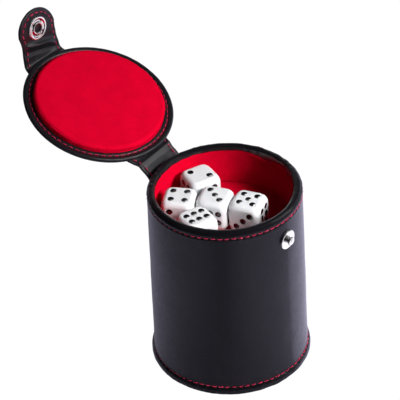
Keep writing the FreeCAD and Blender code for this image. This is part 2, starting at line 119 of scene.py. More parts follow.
def noise(points, seed):
    cell = np.floor(points).astype(np.int64)
    part = points - cell
    part = part * part * part * (part * (part * 6 - 15) + 10)
    total = 0
    for i in (0, 1):
        weight_x = part[..., 0] if i else 1 - part[..., 0]
        for j in (0, 1):
            weight_y = part[..., 1] if j else 1 - part[..., 1]
            for k in (0, 1):
                weight_z = part[..., 2] if k else 1 - part[..., 2]
                corner = lattice(cell[..., 0] + i, cell[..., 1] + j, cell[..., 2] + k, seed)
                total = total + weight_x * weight_y * weight_z * corner
    return total


def noise2(points, seed):
    """noise in two octaves"""
    return noise(points, seed) + 0.5 * noise(points * 2.03, seed + 1)


# ------------------------------------------------------------------ mesh helpers
def link(name, data):
    ob = bpy.data.objects.new(name, data)
    bpy.context.scene.collection.objects.link(ob)
    return ob


def tidy(mesh, weld):
    """turn the faces outwards, welding doubled points first if asked"""
    bm = bmesh.new()
    bm.from_mesh(mesh)
    if weld:
        bmesh.ops.remove_doubles(bm, verts=bm.verts, dist=1e-6)
        bmesh.ops.dissolve_degenerate(bm, edges=bm.edges, dist=1e-7)
    bmesh.ops.recalc_face_normals(bm, faces=bm.faces)
    bm.to_mesh(mesh)
    bm.free()


def make(name, points, faces, material, weld=True):
    mesh = bpy.data.meshes.new(name)
    mesh.from_pydata((np.asarray(points) * MM).tolist(), [], [list(map(int, f)) for f in faces])
    if weld:
        tidy(mesh, weld=True)
    mesh.polygons.foreach_set("use_smooth", [True] * len(mesh.polygons))
    mesh.update()
    mesh.materials.append(material)
    return link(name, mesh)


def quads(rows, cols, wrap_rows=False, wrap_cols=False, offset=0):
    """faces of a grid of points, which may close on itself either way"""
    row, col = np.meshgrid(
        np.arange(rows if wrap_rows else rows - 1),
        np.arange(cols if wrap_cols else cols - 1),
        indexing="ij",
    )
    row2, col2 = (row + 1) % rows, (col + 1) % cols
    corners = [row * cols + col, row2 * cols + col, row2 * cols + col2, row * cols + col2]
    return np.stack(corners, -1).reshape(-1, 4) + offset


def there_and_back(first, second):
    """rows that run along one surface and return along another"""
    return np.concatenate([first, second[:, ::-1]], 1)


def arc(start, middle, end, spacing):
    """points after start on the arc through three points"""
    (ax, ay), (mx, my), (bx, by) = start, middle, end
    det = 2 * (ax * (my - by) + mx * (by - ay) + bx * (ay - my))
    aa, mm, bb = start @ start, middle @ middle, end @ end
    centre = np.array([
        (aa * (my - by) + mm * (by - ay) + bb * (ay - my)) / det,
        (aa * (bx - mx) + mm * (ax - bx) + bb * (mx - ax)) / det,
    ])
    from_a, via, to_b = (math.atan2(*(p - centre)[::-1]) for p in (start, middle, end))
    whole = 2 * math.pi
    rising = (via - from_a) % whole < (to_b - from_a) % whole
    span = (to_b - from_a) % whole if rising else -((from_a - to_b) % whole)
    radius = np.linalg.norm(start - centre)
    count = max(3, int(abs(span) * radius / spacing) + 1)
    turns = [from_a + span * k / count for k in range(1, count + 1)]
    return [centre + radius * np.array([math.cos(t), math.sin(t)]) for t in turns]


def trace(start, steps, spacing):
    """an outline in (radius, z); a step is a point, a point with its own spacing,
    or a (middle, end) arc"""
    points = [np.array(start, float)]
    for step in steps:
        last = points[-1]
        if isinstance(step[0], tuple):
            points += arc(last, np.array(step[0], float), np.array(step[1], float), spacing)
        else:
            end = np.array(step[:2], float)
            gap = step[2] if len(step) > 2 else spacing
            count = max(1, int(round(np.linalg.norm(end - last) / gap)))
            points += [last + (end - last) * k / count for k in range(1, count + 1)]
    points = np.array(points)
    moved = np.linalg.norm(np.diff(points, axis=0), axis=1) > 1e-6
    return points[np.concatenate([[True], moved])]


def outline_normals(outline, closed):
    if closed:
        tangent = np.roll(outline, -1, 0) - np.roll(outline, 1, 0)
    else:
        tangent = np.gradient(outline, axis=0)
    tangent /= np.linalg.norm(tangent, axis=1)[:, None] + 1e-12
    return np.stack([tangent[:, 1], -tangent[:, 0]], 1)


def spin(outline, count):
    """angle, radius and z of an outline turned about Z"""
    angle, radius = np.meshgrid(full_turn(count), outline[:, 0], indexing="ij")
    return angle, radius, np.broadcast_to(outline[:, 1], angle.shape)


def revolve(name, outline, count, material, relief, lift=None, closed=True):
    """an outline turned about Z, raised by relief along its normals"""
    normal = outline_normals(outline, closed)
    angle, radius, z = spin(outline, count)
    # on the axis a surface only moves straight up or down
    on_axis = radius < 0.3
    normal_r = np.where(on_axis, 0.0, normal[:, 0])
    normal_z = np.where(on_axis, np.sign(normal[:, 1]), normal[:, 1])
    height = relief(angle, radius, z)
    new_z = z + height * normal_z
    if lift:
        new_z = new_z + lift(angle, radius, z)
    points = polar_xyz(angle, radius + height * normal_r, new_z).reshape(-1, 3)
    return make(name, points, quads(count, len(outline), True, closed), material)


def apply(points, matrix):
    return np.asarray(points, float) @ matrix[:3, :3].T + matrix[:3, 3]


def turned(name, outline, material, count, place):
    """a small part turned about its own Z; ends on the axis close the mesh"""
    points = polar_xyz(*spin(outline, count)).reshape(-1, 3)
    return make(name, apply(points, place), quads(count, len(outline), True), material)


def axes_matrix(origin, x, y, z):
    matrix = np.eye(4)
    matrix[:3] = np.stack([x, y, z, origin], 1)
    return matrix


def rotation(y, z, degrees):
    """turn about the -X axis through (y, z)"""
    turn = -math.radians(degrees)
    cos, sin = math.cos(turn), math.sin(turn)
    matrix = np.eye(4)
    matrix[1:3, 1:3] = [[cos, -sin], [sin, cos]]
    centre = np.array([0, y, z])
    matrix[:3, 3] = centre - matrix[:3, :3] @ centre
    return matrix


LID_REST = rotation(HINGE_Y, HINGE_Z, LID_OPEN)                # closed lid to rest
TAB_REST = LID_REST @ rotation(BEND_Y, BEND_Z, -TAB_BEND)      # flat tab, closed lid, to rest


def move(ob, matrix):
    metres = matrix.copy()
    metres[:3, 3] *= MM
    ob.data.transform(Matrix(metres.tolist()))
    ob.data.update()


def assign(ob, body, slot, *replaced):
    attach(ob, body)
    if replaced:
        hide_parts(*replaced)


def assign_strap(strap, thread, replaced, replaced_thread):
    """bakes in the place of a strap and its thread, which run between two bodies, and hides the
    pieces they replace
    """
    for ob in (strap, thread):
        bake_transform(ob)
    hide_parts(*replaced)
    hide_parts(replaced_thread)


# ------------------------------------------------------------------ shader helpers
def scaled(colour, factor):
    return tuple(factor * c for c in colour)


class Nodes:
    """short ways to add and join the nodes of one tree"""

    def __init__(self, owner, output="ShaderNodeOutputMaterial"):
        owner.use_nodes = True
        self.tree = owner.node_tree
        self.tree.nodes.clear()
        self.output = self.add(output)

    def put(self, socket, value):
        if isinstance(value, bpy.types.NodeSocket):
            self.tree.links.new(value, socket)
        elif socket.type == "RGBA":
            socket.default_value = (*value, 1)
        else:
            socket.default_value = value

    def add(self, kind, inputs=None, **settings):
        node = self.tree.nodes.new(kind)
        for key, value in settings.items():
            setattr(node, key, value)
        for key, value in (inputs or {}).items():
            self.put(node.inputs[key], value)
        return node

    def math(self, operation, first, second):
        return self.add("ShaderNodeMath", {0: first, 1: second}, operation=operation).outputs[0]

    def plus(self, first, second):
        return self.math("ADD", first, second)

    def times(self, first, second):
        return self.math("MULTIPLY", first, second)

    def remap(self, value, span, to=(0.0, 1.0)):
        inputs = {0: value, 1: span[0], 2: span[1], 3: to[0], 4: to[1]}
        return self.add("ShaderNodeMapRange", inputs).outputs[0]

    def mix(self, factor, first, second):
        inputs = {0: factor, 6: first, 7: second}
        return self.add("ShaderNodeMix", inputs, data_type="RGBA").outputs[2]

    def mix_shader(self, factor, first, second):
        return self.add("ShaderNodeMixShader", {0: factor, 1: first, 2: second}).outputs[0]

    def dot(self, vector, direction):
        inputs = {0: vector, 1: direction}
        return self.add("ShaderNodeVectorMath", inputs, operation="DOT_PRODUCT").outputs["Value"]


class Surface(Nodes):
    """a material with one Principled shader, textured in object coordinates"""

    def __init__(self, name):
        self.material = bpy.data.materials.new(name)
        super().__init__(self.material)
        self.coords = self.add("ShaderNodeTexCoord").outputs["Object"]

    def noise(self, scale, detail, roughness=0.55, distortion=0.0, coords=None):
        inputs = {
            "Scale": scale, "Detail": detail, "Roughness": roughness, "Distortion": distortion,
            "Vector": self.coords if coords is None else coords,
        }
        return self.add("ShaderNodeTexNoise", inputs).outputs["Fac"]

    def bump(self, height, strength, distance, normal=None):
        inputs = {"Strength": strength, "Distance": distance, "Height": height}
        if normal is not None:
            inputs["Normal"] = normal
        return self.add("ShaderNodeBump", inputs).outputs[0]

    def finish(self, inputs):
        shader = self.add("ShaderNodeBsdfPrincipled", inputs).outputs[0]
        self.put(self.output.inputs[0], shader)
        return self.material


# ------------------------------------------------------------------ materials
def leather(name, base, roughness, grain_depth, specular, coat, cell_scale, coat_roughness):
    s = Surface(name)
    # grain cells, their edges pushed about by a finer noise
    warped = s.add(
        "ShaderNodeVectorMath",
        {0: s.noise(scale=900, detail=3), 1: (0.0006, 0.0006, 0.0006), 2: s.coords},
        operation="MULTIPLY_ADD",
    ).outputs[0]
    cells = s.add(
        "ShaderNodeTexVoronoi",
        {"Scale": cell_scale, "Smoothness": 0.6, "Vector": warped},
        feature="SMOOTH_F1",
    ).outputs["Distance"]
    big = s.noise(scale=70, detail=3, roughness=0.5)
    mid = s.noise(scale=420, detail=4, roughness=0.6)
    fine = s.noise(scale=3200, detail=3, roughness=0.6)
    tone = s.mix(s.remap(big, span=(0.3, 0.7)), scaled(base, 0.82), scaled(base, 1.22))
    creases = s.remap(cells, span=(0.0, 0.55), to=(0.0, 0.35))
    tone = s.mix(creases, tone, scaled(base, 0.55))
    rough = s.plus(
        s.remap(mid, span=(0.25, 0.75), to=(roughness - 0.05, roughness + 0.07)),
        s.remap(fine, span=(0.2, 0.8), to=(-0.04, 0.06)),
    )
    height = s.plus(s.times(cells, -1.0), s.times(fine, 0.35))
    grain = s.bump(height, strength=0.55, distance=grain_depth)
    return s.finish({
        "Base Color": tone,
        "Roughness": rough,
        "Specular IOR Level": specular,
        "Coat Weight": coat,
        "Coat Roughness": coat_roughness,
        "Normal": s.bump(mid, strength=0.35, distance=0.00012, normal=grain),
    })


def felt(name, base, sheen, painted_shade_side=None):
    """the shaded side, if given, is (degrees round the cup, strength) of painted shade that
    darkens one side of the wall
    """
    s = Surface(name)
    big = s.noise(scale=110, detail=4, roughness=0.6)
    mid = s.noise(scale=900, detail=5, roughness=0.7)
    stretched = s.add("ShaderNodeMapping", {
        "Scale": (1.0, 3.1, 0.8), "Rotation": (0.5, 0.2, 0.9), "Vector": s.coords,
    }).outputs[0]
    fibres = s.noise(scale=2600, detail=6, roughness=0.75, distortion=0.6, coords=stretched)
    colour = s.mix(s.remap(big, span=(0.3, 0.7)), scaled(base, 0.90), scaled(base, 1.08))
    hollows = s.remap(mid, span=(0.35, 0.75), to=(0.0, 0.35))
    colour = s.mix(hollows, colour, scaled(base, 0.72))
    bright = (min(1, base[0] * 1.2), base[1] + 0.003, base[2] + 0.008)
    colour = s.mix(s.remap(fibres, span=(0.55, 0.8), to=(0.0, 0.25)), colour, bright)
    if painted_shade_side:
        # painted shade: the side of the wall that faces away from the key light is darkened
        angle = math.radians(painted_shade_side[0])
        across = s.dot(s.coords, (math.cos(angle), math.sin(angle), 0))
        side = s.remap(across, span=(-0.004, 0.030), to=(0.0, painted_shade_side[1]))
        colour = s.mix(side, colour, scaled(base, 0.25))
    # less red thrown on to the dice and back on to the felt itself
    diffuse_ray = s.add("ShaderNodeLightPath").outputs["Is Diffuse Ray"]
    nap = s.bump(mid, strength=0.5, distance=0.00018)
    return s.finish({
        "Base Color": s.mix(diffuse_ray, colour, scaled(base, 0.45)),
        "Roughness": 0.95,
        "Specular IOR Level": 0.0,
        "Sheen Weight": sheen,
        "Sheen Roughness": 0.5,
        "Sheen Tint": (1.0, 0.0, 0.06),
        "Normal": s.bump(fibres, strength=0.8, distance=0.00016, normal=nap),
    })


def thread_material(name, base):
    s = Surface(name)
    fine = s.noise(scale=5200, detail=3, roughness=0.6)
    big = s.noise(scale=260, detail=2)
    return s.finish({
        "Base Color": s.mix(
            s.remap(big, span=(0.3, 0.7)), scaled(base, 0.7), scaled(base, 1.2)
        ),
        "Roughness": s.remap(fine, span=(0.2, 0.8), to=(0.30, 0.5)),
        "Specular IOR Level": 0.6,
        "Sheen Weight": 0.25,
        "Sheen Tint": (1.0, 0.5, 0.55),
        "Normal": s.bump(fine, strength=0.6, distance=0.00006),
    })


def metal(name, base, roughness):
    s = Surface(name)
    mottle = s.noise(scale=500, detail=4)
    fine = s.noise(scale=4200, detail=3)
    return s.finish({
        "Base Color": s.mix(s.remap(mottle, span=(0.3, 0.7)), scaled(base, 0.9), base),
        "Metallic": 1.0,
        "Roughness": s.remap(fine, span=(0.3, 0.7), to=(roughness, roughness + 0.03)),
        "Normal": s.bump(mottle, strength=0.25, distance=0.00005),
    })


def plastic(name, base, roughness, coat, subsurface=0.0):
    s = Surface(name)
    mottle = s.noise(scale=180, detail=3)
    fine = s.noise(scale=2500, detail=3)
    inputs = {
        "Base Color": s.mix(s.remap(mottle, span=(0.3, 0.7)), scaled(base, 0.96), base),
        "Roughness": s.remap(fine, span=(0.3, 0.7), to=(roughness, roughness + 0.05)),
        "Coat Weight": coat,
        "Coat Roughness": 0.06,
        "Normal": s.bump(mottle, strength=0.12, distance=0.00008),
    }
    if subsurface:
        inputs["Subsurface Weight"] = subsurface
        inputs["Subsurface Radius"] = (1.0, 0.95, 0.95)
        inputs["Subsurface Scale"] = 0.003
    return s.finish(inputs)


def board_material(name):
    s = Surface(name)
    pulp = s.noise(scale=1400, detail=6, roughness=0.7)
    return s.finish({
        "Base Color": s.mix(
            s.remap(pulp, span=(0.3, 0.7)), (0.24, 0.21, 0.17), (0.38, 0.34, 0.28)
        ),
        "Roughness": 0.9,
        "Normal": s.bump(pulp, strength=0.5, distance=0.0001),
    })


LEATHER = leather(
    "black_leather", base=(0.0052, 0.0048, 0.0064), roughness=0.44, grain_depth=0.00006,
    specular=0.30, coat=0.65, cell_scale=1500.0, coat_roughness=0.13,
)
LINING = leather(
    "lining_leather", base=(0.0062, 0.0058, 0.0082), roughness=0.40, grain_depth=0.00004,
    specular=0.35, coat=0.5, cell_scale=2100.0, coat_roughness=0.2,
)
# the compartment felt carries painted shade on the wall's side away from the key light
FELT = felt("red_felt", base=(0.76, 0.0012, 0.024), sheen=0.10, painted_shade_side=(-22.0, 0.62))
# painted shade: a darker copy of the same red felt, for the lid's pad
SHADED_PAD_FELT = felt("red_felt_pad_shaded", base=(0.65, 0.0010, 0.022), sheen=0.12)
THREAD = thread_material("red_thread", base=(0.46, 0.006, 0.05))
NICKEL = metal("nickel", base=(0.82, 0.80, 0.785), roughness=0.15)
STEEL = metal("spring_wire", base=(0.55, 0.55, 0.56), roughness=0.25)
DIE_WHITE = plastic(
    "die_white", base=(0.85, 0.86, 0.885), roughness=0.30, coat=0.18, subsurface=0.30
)
PIP_BLACK = plastic("pip_black", base=(0.005, 0.005, 0.006), roughness=0.09, coat=0.9)
BOARD = board_material("board")


# ------------------------------------------------------------------ stitching
def threads(name, stitches, radius=0.26):
    """two-ply thread that dives into the leather at both ends of each stitch;
    a stitch is (start, end, normal)"""
    sink, rise = 0.32, 0.46
    start, end, normal = (np.array(part, float) for part in zip(*stitches))
    count = len(stitches)
    tangent = end - start
    tangent /= np.linalg.norm(tangent, axis=1)[:, None]
    normal -= (normal * tangent).sum(1)[:, None] * tangent
    normal /= np.linalg.norm(normal, axis=1)[:, None]
    across = np.cross(tangent, normal)
    steps, around = np.linspace(0, 1, 11), full_turn(8)
    jitter = rng.uniform(-1, 1, (count, 4))
    rows = []
    for t in steps:
        arch = math.sin(math.pi * t)
        lift = -sink + rise * arch ** 0.42
        centre = (
            start * (1 - t) + end * t + normal * (lift + 0.03 * jitter[:, :1])
            + across * (0.05 * jitter[:, 1:2] * arch)
        )
        thick = radius * (0.80 + 0.20 * arch ** 0.5)
        ring = []
        for a in around:
            ply = 1 + 0.13 * np.cos(2 * a - 9.0 * t + 3 * jitter[:, 2])
            spoke = across * math.cos(a) + normal * math.sin(a)
            ring.append(centre + spoke * (thick * ply)[:, None])
        rows.append(np.stack(ring, 1))
    tube = quads(len(steps), len(around), False, True)
    size = len(steps) * len(around)
    last = size - len(around)
    faces = []
    for i in range(count):
        faces += (tube + i * size).tolist()
        faces.append([i * size + j for j in range(len(around))][::-1])
        faces.append([i * size + last + j for j in range(len(around))])
    ob = make(name, np.stack(rows, 1).reshape(-1, 3), faces, THREAD, weld=False)
    tidy(ob.data, weld=False)
    return ob


def stitches_round(circle):
    return int(round(2 * math.pi * circle / PITCH))


def ring_stitches(radius, z, normal, count, slant=0.0, back_gap=0.0):
    """stitches round Z; normal is (outward, up), and none lie within back_gap
    degrees of the back"""
    stitches = []
    for i in range(count):
        angle = 2 * math.pi * (i + 0.5) / count
        if abs(math.degrees(angle) - 90) < back_gap:
            continue
        ends = []
        for side in (-1, 1):
            turn = angle + side * STITCH_L / 2 / radius
            ends.append((radius * math.cos(turn), radius * math.sin(turn), z + side * slant))
        out, up = normal
        stitches.append((*ends, (out * math.cos(angle), out * math.sin(angle), up)))
    return stitches


def pucker(angle, off_line, radius, count, depth, spread):
    """dimples where a ring of stitches dives into the leather"""
    x = ((angle / (2 * math.pi) * count) % 1 - 0.5) * 2 * math.pi * radius / count
    along = np.minimum(np.abs(x - STITCH_L / 2), np.abs(x + STITCH_L / 2))
    return -depth * np.exp(-(along * along + off_line * off_line) / (spread * spread))


# ------------------------------------------------------------------ cup leather
MOUTH_STITCH_R = 38.90
TOP_COUNT = stitches_round(wall(TOP_STITCH_Z))
MOUTH_COUNT = stitches_round(MOUTH_STITCH_R)


def rim_point(radius, degrees, power=2.0):
    """a point on a squared-off arch over the centre of the rolled rim"""
    cos, sin = math.cos(math.radians(degrees)), math.sin(math.radians(degrees))
    x = abs(cos) ** (2 / power) * (1 if cos > 0 else -1)
    return (wall(RIM_Z) - RIM_R + radius * x, RIM_Z + radius * abs(sin) ** (2 / power))


def inner_skin(z):
    return bore(z) - LEATHER_T


def outer_rim_point(degrees):
    turn = math.radians(degrees)
    return (wall(RIM_Z) - RIM_R + RIM_R * math.cos(turn), CUP_H - 3.1 + 3.1 * math.sin(turn))


CUP_OUTLINE = trace(
    (inner_skin(HEM), HEM),
    [
        # mouth turning and bead
        (inner_skin(1.35), 1.35),
        ((inner_skin(1.35) + 0.40, 0.40), (inner_skin(0) + 1.35, 0.0)),
        (38.9, 0.0),
        ((39.72, 0.42), (40.0, 1.35)),
        ((39.80, 2.75), (39.35, 3.55)),
        ((39.05, 3.95), (38.86, MOUTH_STITCH_Z)),
        # outer wall and rolled rim
        (wall(6.6), 6.6, 0.3),
        (wall(CUP_H - 7.5), CUP_H - 7.5, 1.5),
        (wall(CUP_H - 3.1), CUP_H - 3.1, 0.3),
        *[outer_rim_point(a) for a in range(5, 91, 5)],
        *[rim_point(RIM_R, a, 2.2) for a in range(96, 181, 6)],
        # turned in, then back along both faces of the board
        (inner_skin(CUP_H - HEM), CUP_H - HEM, 0.3),
        (bore(CUP_H - HEM) - 0.02, CUP_H - HEM),
        (bore(RIM_Z) - 0.01, RIM_Z, 2.0),
        (rim_point(BOARD_T / 2, 90), (wall(RIM_Z) - LEATHER_T, RIM_Z)),
        (wall(1.0) - LEATHER_T, 1.0, 12.0),
        (bore(1.0), 1.0, 2.0),
        (bore(HEM), HEM, 2.0),
    ],
    spacing=0.33,
)


def signed_degrees(angle):
    return (np.degrees(angle) + 180) % 360 - 180


def hem_drop(angle):
    """the turned-down hem and the felt under it run uneven, lowest at the right (+X)"""
    deg = signed_degrees(angle)
    return 1.55 * bell(deg - 5, 11.0) - 0.15 + 0.22 * noise(xyz(deg / 19.0, 0, 0), 3)


def cup_relief(angle, radius, z):
    point = polar_xyz(angle, radius, z)
    deg = (np.degrees(angle) + 360) % 360
    outside = radius > wall(z) - 0.5
    panel = smooth(z, 7, 14) * (1 - smooth(z, CUP_H - 9, CUP_H - 3)) * outside
    d = panel * (0.16 * noise2(point / 24.0, 1) + 0.035 * noise2(point / 5.5, 2))
    # groove along the top stitch line, and a dimple at every needle hole of both lines
    above = z - TOP_STITCH_Z
    top = outside * (z > CUP_H - 9) * (z < CUP_H - 2)
    d = d - top * 0.16 * bell(above, 0.75)
    d = d + top * pucker(
        angle, above, wall(TOP_STITCH_Z), TOP_COUNT, depth=0.26, spread=0.50
    )
    mouth = (radius > 38) * (z > 2.5) * (z < 7)
    d = d + mouth * pucker(
        angle, z - (MOUTH_STITCH_Z + MOUTH_STITCH_LIFT), MOUTH_STITCH_R, MOUTH_COUNT,
        depth=0.22, spread=0.50,
    )
    # padded roll between the top stitches and the rim
    roll = outside * smooth(above, 0, 1.0) * (1 - smooth(z, CUP_H - 1.2, CUP_H - 0.1))
    d = d + roll * (0.14 + 0.10 * noise(xyz(angle * 14, z / 5, 0), 5))
    # creases across the rolled rim, strongest at the back and right
    rim = smooth(z, CUP_H - 2.6, CUP_H - 0.9) * (radius > 30)
    inner = (radius < 35.4) * (z > CUP_H - 6) * (z < CUP_H) * (radius > 30)
    strength = (
        0.05 + 0.20 * bell(deg - 100, 34.0) + 0.12 * bell(deg - 8, 20.0)
        + 0.16 * bell(deg - 352, 20.0)
    )
    fold = noise(xyz(angle * 37.5 / 1.9, z / 3.2, radius / 3.0), 8)
    fold = fold + 0.6 * noise(xyz(angle * 37.5 / 4.3, z / 4, radius / 4), 9)
    d = d + np.maximum(rim, inner * 0.8) * strength * fold
    # the turning is thicker at the front right
    tuck = (radius < wall(z) - RIM_R) * (radius > 30)
    tuck = tuck * smooth(z, CUP_H - HEM - 0.1, CUP_H - HEM + 0.9)
    thick = 0.85 * bell(signed_degrees(angle) + 48, 30.0)
    d = d + thick * tuck * (1 - 0.75 * smooth(z, CUP_H - 0.7, CUP_H + 0.05))
    # the turned bead at the mouth
    bead = (z < 3.9) * (radius > 37.5)
    d = d + bead * 0.10 * noise2(xyz(angle * 38 / 4.2, z / 4, 0), 11)
    # edge-to-edge seam of the wrap down the back
    seam = outside * smooth(z, 3, 6) * (1 - smooth(z, CUP_H - 6, CUP_H - 2))
    d = d - seam * 0.30 * bell((angle - math.pi / 2) * radius, 0.32)
    against_board = (radius < wall(z) - 0.6) & (radius > bore(z) - 0.4)
    against_board = against_board & (z < RIM_Z + 0.97) & (z > 0.9)
    return np.where(against_board, 0.0, d)


def cup_lift(angle, radius, z):
    turning = (radius < bore(z) + 0.01) * (z > CUP_H - 10) * smooth(CUP_H - z, 1.6, HEM)
    return -turning * hem_drop(angle)


skin = revolve(
    "outer_leather_skin", CUP_OUTLINE, 864, LEATHER, cup_relief, cup_lift
)
assign(skin, "cup", "black_leather", "outer_leather")

# the rim stitches leave room for the hinge strap at the back
rim_thread = threads("rim_thread", ring_stitches(
    wall(TOP_STITCH_Z) - 0.16, TOP_STITCH_Z, (1, 0), TOP_COUNT, slant=0.14, back_gap=17.6
))
assign(rim_thread, "cup", "red_thread", "rim_stitching")
mouth_thread = threads("mouth_thread", ring_stitches(
    38.84, MOUTH_STITCH_Z + MOUTH_STITCH_LIFT, (1, 0.05), MOUTH_COUNT, slant=0.10
))
assign(mouth_thread, "cup", "red_thread", "mouth_stitching")


# ------------------------------------------------------------------ cup felts
def felt_tube(name, low, high, follows_hem, replaced, seed):
    rows, count = 44, 360
    angle, part = np.meshgrid(full_turn(count), np.linspace(0, 1, rows), indexing="ij")
    z = low + (high - (hem_drop(angle) if follows_hem else 0) - low) * part
    point = polar_xyz(angle, 30, z)
    swell = 0.16 * noise2(point / 11.0, seed) + 0.05 * noise2(point / 2.3, seed + 3)
    swell = np.clip(swell, -0.25, 0.5)
    if follows_hem:
        # a bulge under the low part of the hem, and an edge drawn back all round
        bulge = 0.55 * bell(signed_degrees(angle) - 6, 13.0) * smooth(part, 0.45, 0.95)
        swell = swell + bulge * (1 - 0.35 * smooth(part, 0.95, 1.0))
        swell = swell - 0.18 * smooth(part, 0.965, 1.0)
    inside = polar_xyz(angle, bore(z) - FELT_T - np.maximum(swell, -0.05), z)
    points = there_and_back(inside, polar_xyz(angle, bore(z) - 0.03, z))
    ob = make(name, points.reshape(-1, 3), quads(count, 2 * rows, True, True), FELT)
    assign(ob, "cup", "red_felt", replaced)


def felt_disc(name, radius, face_z, hidden_z, facing, replaced, seed):
    """facing is 1 for a disc that faces up, -1 for down"""
    rows, count = 70, 240
    angle, at = np.meshgrid(full_turn(count), np.linspace(0.02, radius, rows), indexing="ij")
    point = polar_xyz(angle, at, 0)
    swell = 0.10 * noise2(point / 9.0, seed) + 0.045 * noise2(point / 1.9, seed + 4)
    swell = swell * (1 - smooth(at, radius - 1.5, radius)) - 0.08 * (at < 0.5)
    face = polar_xyz(angle, at, face_z + facing * (swell - 0.08))
    points = there_and_back(face, polar_xyz(angle, at, hidden_z))
    ob = make(name, points.reshape(-1, 3), quads(count, 2 * rows, True, True), FELT)
    assign(ob, "cup", "red_felt", replaced)


felt_tube(
    "compartment_wall_cloth", low=FLOOR_Z + 0.02, high=CUP_H - HEM - 0.02, follows_hem=True,
    replaced="compartment_wall_felt", seed=21,
)
felt_tube(
    "mouth_wall_cloth", low=HEM + 0.02, high=PARTITION_Z - FELT_T - 0.02, follows_hem=False,
    replaced="mouth_wall_felt", seed=31,
)
felt_disc(
    "compartment_floor_cloth", bore(FLOOR_Z) - 0.05, face_z=FLOOR_Z,
    hidden_z=FLOOR_Z - FELT_T + 0.02, facing=1, replaced="compartment_floor_felt", seed=41,
)
felt_disc(
    "mouth_floor_cloth", bore(PARTITION_Z) - 0.05, face_z=PARTITION_Z - FELT_T,
    hidden_z=PARTITION_Z - 0.02, facing=-1, replaced="mouth_floor_felt", seed=51,
)

# ------------------------------------------------------------------ snap stud
# outlines are (radius, distance in front of the cup's axis)
STUD_PLACE = axes_matrix(np.array([0, 0, STUD_Z]), EX, EZ, -EY)
STUD_OUTLINE = trace(
    (0.0, 40.90),
    [
        ((0.8, 40.83), (1.5, 40.64)),
        ((1.98, 40.42), (2.1, 40.05)),
        ((1.98, 39.68), (1.62, 39.40)),
        (1.58, 38.95),
        ((1.75, 38.62), (2.25, 38.52)),
        (2.6, 38.47),
        ((3.0, 38.40), (3.4, 38.46)),
        (4.1, 38.54),
        ((4.62, 38.50), (4.88, 38.30)),
        ((4.98, 38.15), (4.98, 37.95)),
        (4.96, 37.0),
        (0.0, 37.0),
    ],
    spacing=0.14,
)
# small press seat in the knob's end
SEAT_OUTLINE = trace(
    (0.0, 40.90),
    [(0.55, 40.90), (0.62, 40.93), (0.80, 40.91), (0.86, 40.84), (0.9, 40.70), (0.0, 40.70)],
    spacing=0.08,
)
stud = turned("stud_metal", STUD_OUTLINE, NICKEL, 80, STUD_PLACE)
assign(stud, "cup", "nickel", "snap_stud")
seat = turned("stud_seat", SEAT_OUTLINE, NICKEL, 40, STUD_PLACE)
assign(seat, "cup", "nickel")

# ------------------------------------------------------------------ lid
# drawn closed: inner leather, board and outer leather, from below upwards
INNER_Z = CUP_H + 0.10
INNER_TOP_Z = INNER_Z + 0.70
BOARD_TOP_Z = INNER_TOP_Z + 0.78
COVER_Z = BOARD_TOP_Z + 0.98
LID_COUNT = stitches_round(LID_STITCH_R)
RING_OUTLINE = trace(
    (0.01, INNER_Z + 0.12),
    [
        (31.0, INNER_Z + 0.12, 3.0),
        (33.2, INNER_Z + 0.16),
        ((34.0, INNER_Z + 0.16), (34.50, INNER_Z + 0.34)),
        (35.10, INNER_Z + 0.34),
        ((35.7, INNER_Z + 0.00), (36.4, INNER_Z - 0.12)),
        ((37.35, INNER_Z + 0.02), (37.85, INNER_Z + 0.58)),
        (37.92, INNER_TOP_Z + 0.02),
        (37.70, INNER_TOP_Z + 0.10),
        (37.0, INNER_TOP_Z + 0.10),
        (0.01, INNER_TOP_Z + 0.10, 4.0),
    ],
    spacing=0.22,
)
COVER_OUTLINE = trace(
    (0.01, COVER_Z + 0.10),
    [
        (0.06, COVER_Z + 0.10),
        (31.0, COVER_Z + 0.10, 2.2),
        ((33.6, COVER_Z + 0.06), (34.4, COVER_Z - 0.08)),
        (35.2, COVER_Z - 0.08),
        ((36.1, COVER_Z + 0.02), (36.8, COVER_Z - 0.02)),
        ((37.30, COVER_Z - 0.22), (37.58, COVER_Z - 0.75)),
        (37.62, INNER_TOP_Z + 0.32),
        (37.45, INNER_TOP_Z + 0.22),
        (37.1, INNER_TOP_Z + 0.20),
        (36.9, BOARD_TOP_Z),
        (0.01, BOARD_TOP_Z, 4.0),
    ],
    spacing=0.25,
)


def lid_pucker(angle, radius, depth, spread):
    line = (radius > 33.6) * (radius < 36.0)
    off_line = radius - LID_STITCH_R
    return line * pucker(angle, off_line, LID_STITCH_R, LID_COUNT, depth, spread)


def ring_relief(angle, radius, z):
    face = (radius > 32) * (z < INNER_TOP_Z)
    d = 0.05 * noise2(polar_xyz(angle, radius, z) / 4.0, 61)
    d = face * (d + 0.03 * noise(xyz(angle * 30, radius / 3, z), 63))
    return d + face * lid_pucker(angle, radius, depth=0.20, spread=0.42)


def cover_relief(angle, radius, z):
    top = (z > COVER_Z - 0.4) * 1.0
    point = polar_xyz(angle, radius, z)
    d = 0.12 * noise2(point / 16.0, 65) + 0.03 * noise2(point / 4.0, 66)
    d = top * (1 - smooth(radius, 30, 35)) * d
    return d + top * lid_pucker(angle, radius, depth=0.22, spread=0.45)


lid_ring = revolve("lid_ring_leather", RING_OUTLINE, 480, LINING, ring_relief)
move(lid_ring, LID_REST)
assign(lid_ring, "lid", "black_leather", "lid_inner_leather")

lid_cover = revolve("lid_cover_leather", COVER_OUTLINE, 480, LEATHER, cover_relief)
move(lid_cover, LID_REST)
assign(lid_cover, "lid", "black_leather", "lid_outer_leather")

